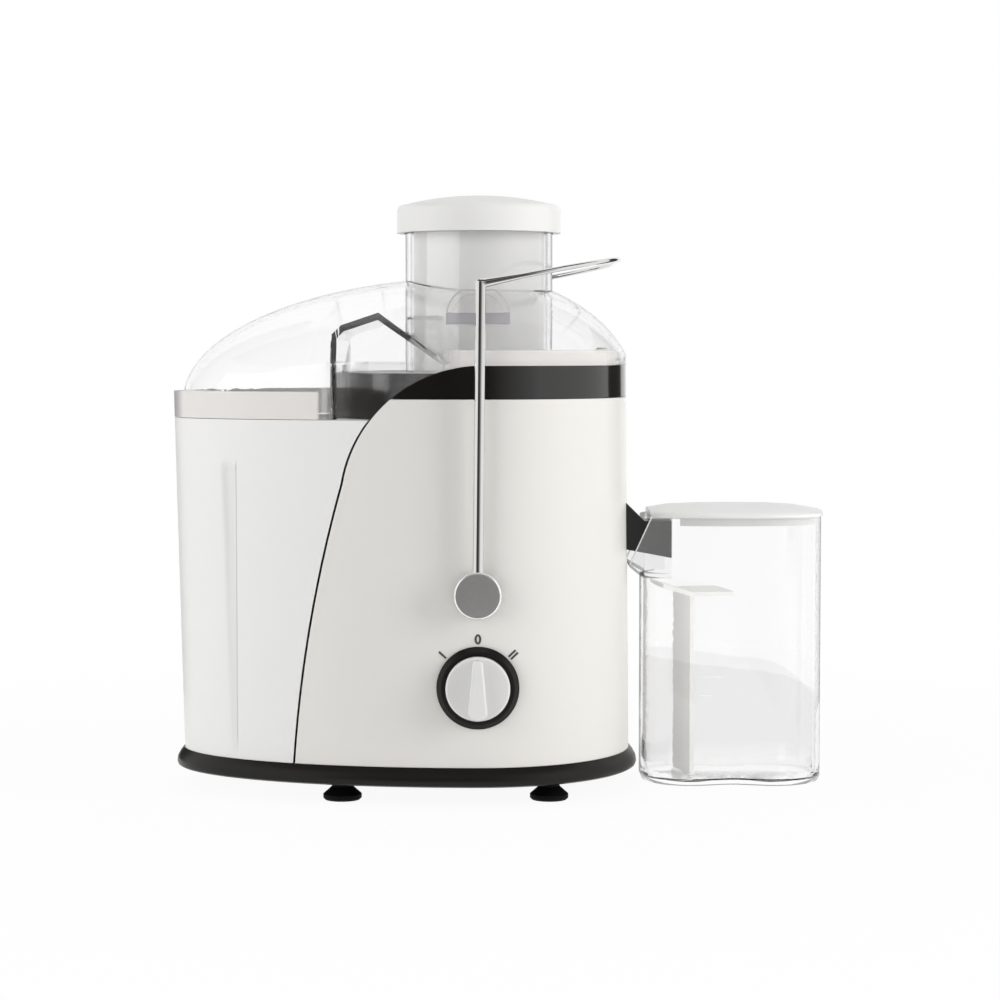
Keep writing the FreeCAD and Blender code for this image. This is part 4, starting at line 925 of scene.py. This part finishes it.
@dataclass
class Works:
    """Bowl, spout, basket and motor."""

    def dress(self) -> None:
        """Finishes of the working pieces."""
        gloss = Moulded((0.006, 0.005, 0.0045), (0.009, 0.008, 0.007), roughness=0.13, spread=0.05,
                        grain=1200.0, grain_depth=0.00001, coat=0.5)
        dress("juice_bowl", gloss.material("bowl_black"))
        satin = Moulded((0.018, 0.017, 0.017), (0.026, 0.025, 0.025), roughness=0.34, spread=0.1,
                        grain=1500.0)
        dress_all(("juice_spout", "drive_coupling", "carbon_brushes"), satin.material("spout_black"))
        dress("filter_mesh", Perforated().material("filter_steel"), sharp=60.0)
        steel = Metal((0.60, 0.60, 0.61), (0.42, 0.42, 0.43), roughness=0.22, spread=0.14, marks=420.0)
        dress("grater_disc", steel.material("grater_steel"))
        white = Moulded((0.72, 0.715, 0.70), (0.68, 0.675, 0.66), roughness=0.4, spread=0.1, grain=1800.0)
        dress_all(("basket_rim", "basket_hub"), white.material("basket_white"))
        iron = Metal((0.20, 0.20, 0.21), (0.12, 0.12, 0.12), roughness=0.45, spread=0.2, marks=900.0,
                     stretch=(0.05, 0.05, 1.0), mark_depth=0.00004)
        dress_all(("stator_core", "armature_core"), iron.material("core_iron"))
        copper = Metal((0.62, 0.27, 0.12), (0.42, 0.16, 0.06), roughness=0.3, spread=0.2, marks=800.0,
                       stretch=(1.0, 1.0, 0.15), mark_depth=0.00005)
        wound = ("stator_coils", "armature_windings", "commutator", "brush_holders")
        dress_all(wound, copper.material("winding_copper"))


@dataclass
class Lid:
    """Clear lid with chute and hood, and the white pusher."""

    top_blur: float = 0.0004  # upper edge of both painted matt bands
    # band: painted grey of the shaded container seen through the lid skirt
    band_top: float = 0.2156
    band_right: float = -0.096
    band_right_blur: float = 0.002
    band_share: float = 0.85
    # left end of the band: painted darker shade
    band_end: float = -0.1705
    band_end_blur: float = 0.004
    band_end_share: float = 0.8
    skirt_top: float = 0.2372
    skirt_left: Pair = (-0.030, -0.020)  # where it starts and is full
    skirt_right: float = 0.056
    skirt_right_blur: float = 0.008
    skirt_share: float = 0.7
    ledge_half: float = 0.0166
    ledge_low: float = 0.2510
    ledge_arch: float = 0.2550
    ledge_share: float = 0.12
    # ledges' floors: painted shade
    ledge_floor: float = 0.2569
    ledge_floor_blur: float = 0.0003
    ledge_floor_share: float = 0.42
    chute_side: float = 0.036
    window: Pair = (-0.090, -0.036)
    window_blur: float = 0.004
    window_top: float = 0.2300
    window_top_blur: float = 0.002
    window_share: float = 0.8

    def _ledge(self, graph: Graph) -> Value:
        """One inside the round-topped outlines of the two locking ledges."""
        x, y, z = graph.parts()
        beside = x - AXIS_X
        above = (z - self.ledge_arch).ramp(0.0, 1.0)
        inside = 1.0 - (beside * beside + above * above).above(self.ledge_half**2)
        return inside * (y - AXIS_Y).size().above(self.chute_side) * z.above(self.ledge_low)

    def _ledge_floor(self, graph: Graph) -> Value:
        """One at the height of the ledges' floors."""
        _, _, z = graph.parts()
        return z.until(self.ledge_floor, self.ledge_floor_blur) * z.above(self.ledge_low)

    def _shaded(self, graph: Graph) -> Value:
        """Painted shade on the matt places: the ledges' floors and the left end of the band."""
        x, _, _ = graph.parts()
        end = x.ramp(self.band_end, self.band_end - self.band_end_blur)
        return (self._ledge_floor(graph) + self.band_end_share * end).at_most_one()

    def _thin(self, graph: Graph) -> Value:
        """Where the lid neither bends nor mirrors: the ledges, and most of the front by the bowl wall."""
        x, y, z = graph.parts()
        first, last = self.window
        window = x.since(first, self.window_blur) * x.until(last, self.window_blur)
        window = window * z.until(self.window_top, self.window_top_blur) * (1.0 - y.above(0.0))
        return (self._ledge(graph) + self.window_share * window).at_most_one()

    def _satin(self, graph: Graph) -> Value:
        """Painted matt share: a band for the shaded container seen through, one over the bowl collar,
        faintly each ledge.
        """
        x, _, z = graph.parts()
        band = z.until(self.band_top, self.top_blur) * x.until(self.band_right, self.band_right_blur)
        skirt = z.until(self.skirt_top, self.top_blur) * x.ramp(*self.skirt_left)
        skirt = skirt * x.until(self.skirt_right, self.skirt_right_blur)
        ledge = (self.ledge_share + self.ledge_floor_share * self._ledge_floor(graph)) * self._ledge(graph)
        return (self.band_share * band + self.skirt_share * skirt + ledge).at_most_one()

    def dress(self) -> None:
        """Finishes of lid and pusher."""
        # lid: painted matt band, painted shade on the ledge floors and band end, painted dark edge lines
        lid = Clear(satin=self._satin, shaded=self._shaded, thin=self._thin, edge=0.12, ior=1.3)
        dress("lid_cover", lid.material("lid_clear"))
        # chute and hood: painted dark lines where walls are seen edge-on
        dress("feed_chute", Clear(edge=0.9, edge_from=0.7).material("chute_clear"))
        dress("pulp_hood", Clear(edge=0.06).material("hood_clear"))
        white = Moulded((0.79, 0.785, 0.77), (0.77, 0.765, 0.75), roughness=0.36, grain=2200.0,
                        grain_depth=0.00002, coat=0.1)
        dress_all(("pusher_cap", "pusher_body"), white.material("cap_white"))


@dataclass(frozen=True)
class Tick:
    """Level mark on the jug: its ends and its height."""

    name: str
    left: float
    right: float
    height: float


@dataclass
class Jug:
    """Clear jug, its white lid and the foam separator."""

    middle_x: float = 0.1388 + AXIS_X
    middle_y: float = 0.0140 + AXIS_Y
    half_long: float = 0.0498
    half_deep: float = 0.0365
    square: float = 0.68
    waist: float = 0.20
    waist_reach: float = 0.017
    rim: float = 0.1468
    # painted grey reflection in the lower half of the front wall
    reflection_left: float = 0.080
    reflection_top: float = 0.0716
    reflection_fall: float = 0.125
    reflection_bend: float = 0.149
    reflection_bend_run: float = 0.03
    reflection_drop: float = 16.0
    reflection_wave: float = 0.003
    reflection_waves: float = 60.0
    reflection_blur: float = 0.0015
    reflection_foot: Pair = (0.006, 0.016)  # heights where it starts and is full
    reflection_share: float = 0.55
    beak_right: float = 0.0925
    beak_low: float = 0.1139
    beak_blur: float = 0.001
    # painted light grey on the beak's plates and along their slanting edge
    beak_share: float = 0.10
    lip_way: Pair = (0.909, -0.417)
    lip_at: float = 0.01371
    lip_blur: float = 0.0002
    lip_share: float = 0.8
    tick_height: float = 0.0006
    tick_rise: float = 0.00008
    tick_points: int = 13

    def _painted_reflection(self, graph: Graph) -> Value:
        """Painted grey reflection in the lower half: its top edge falls slowly, then steeply near the right
        end.
        """
        x, _, z = graph.parts()
        past = x.ramp(self.reflection_bend, self.reflection_bend + self.reflection_bend_run) * self.reflection_bend_run
        edge = self.reflection_top - (x - self.reflection_left) * self.reflection_fall - past * past * self.reflection_drop
        wave = self.reflection_wave * (graph.noise(self.reflection_waves, stretch=(1.0, 0.0, 0.0)) - 0.5)
        return (edge + wave - z).ramp(0.0, self.reflection_blur) * z.ramp(*self.reflection_foot) * self.reflection_share

    def _beak(self, graph: Graph) -> Value:
        """One on the plates of the beak."""
        x, _, z = graph.parts()
        return x.until(self.beak_right, self.beak_blur) * z.since(self.beak_low, self.beak_blur)

    def _lip(self, graph: Graph) -> Value:
        """Painted light grey share of the beak: faint on its plates and strong along their slanting edge.
        """
        x, _, z = graph.parts()
        across = x * self.lip_way[0] + z * self.lip_way[1]
        edge = across.until(self.lip_at, self.lip_blur)
        return self._beak(graph) * (self.beak_share + self.lip_share * edge)

    def front(self, x: Array, z: Array) -> Array:
        """Depth of the front wall: a rounded oval drawn in at the middle by the waist, less so higher up.

        With u the distance from the middle over the half length and n the squareness, the wall is at
        Y = -D (1 - w(z) exp(-(x / reach)^2)) sqrt(1 - u^(2/n))^n from the middle.

        Args:
            x: row-frame X.
            z: height.
        Returns:
            Row-frame Y of the wall.
        """
        run = np.abs(x - self.middle_x) / self.half_long
        side = np.sqrt(1.0 - run ** (2.0 / self.square)) ** self.square
        pinch = self.waist * (1.0 - z / self.rim) * np.exp(-(((x - self.middle_x) / self.waist_reach) ** 2))
        return self.middle_y - self.half_deep * (1.0 - pinch) * side

    def add_ticks(self) -> None:
        """Two raised level marks on the front wall, each a strip that follows the wall."""
        white = Moulded((0.93, 0.93, 0.93), (0.89, 0.89, 0.89), roughness=0.4, spread=0.1,
                        grain=3000.0, grain_depth=0.00001).material("tick_white")
        for tick in (Tick("tick_long", 0.1066, 0.1205, 0.0603), Tick("tick_short", 0.1085, 0.1142, 0.0505)):
            edges = tick.height + self.tick_height * np.array([-0.5, 0.5])
            z, x = np.meshgrid(edges, np.linspace(tick.left, tick.right, self.tick_points), indexing="ij")
            points = grid_points(x, self.front(x, z) - self.tick_rise, z)
            add_piece(new_object(tick.name, points, grid_faces(*x.shape), white), "jug")

    def dress(self) -> None:
        """Finishes of jug, lid and separator."""
        # painted grey reflection below, painted light grey on the beak and painted dark edge lines
        plastic = Clear(painted_reflection=self._painted_reflection, satin=self._lip, painted_satin_tint=(0.82, 0.82, 0.81), thin=self._beak,
                        ripple_depth=0.0001, edge=0.75)
        dress("juice_jug", plastic.material("jug_clear"), sharp=40.0)
        white = Milky((0.88, 0.88, 0.87), (0.85, 0.85, 0.84), roughness=0.34)
        dress("jug_lid", white.material("jug_lid_white"), sharp=40.0)
        # painted glow lifts the separator's white
        painted_glow_white = Milky((0.93, 0.925, 0.91), (0.90, 0.89, 0.87), roughness=0.42, painted_glow=0.14)
        dress("foam_separator", painted_glow_white.material("separator_white"))


def main() -> None:
    """Build the studio and every sub-assembly."""
    logging.basicConfig(level=logging.INFO, format="%(name)s: %(message)s")
    Studio().build()
    shell = Shell()
    shell.dress()
    shell.print_marks()
    Controls().dress()
    Bail().dress()
    Works().dress()
    Lid().dress()
    jug = Jug()
    jug.dress()
    jug.add_ticks()


if __name__ == "__main__":
    main()
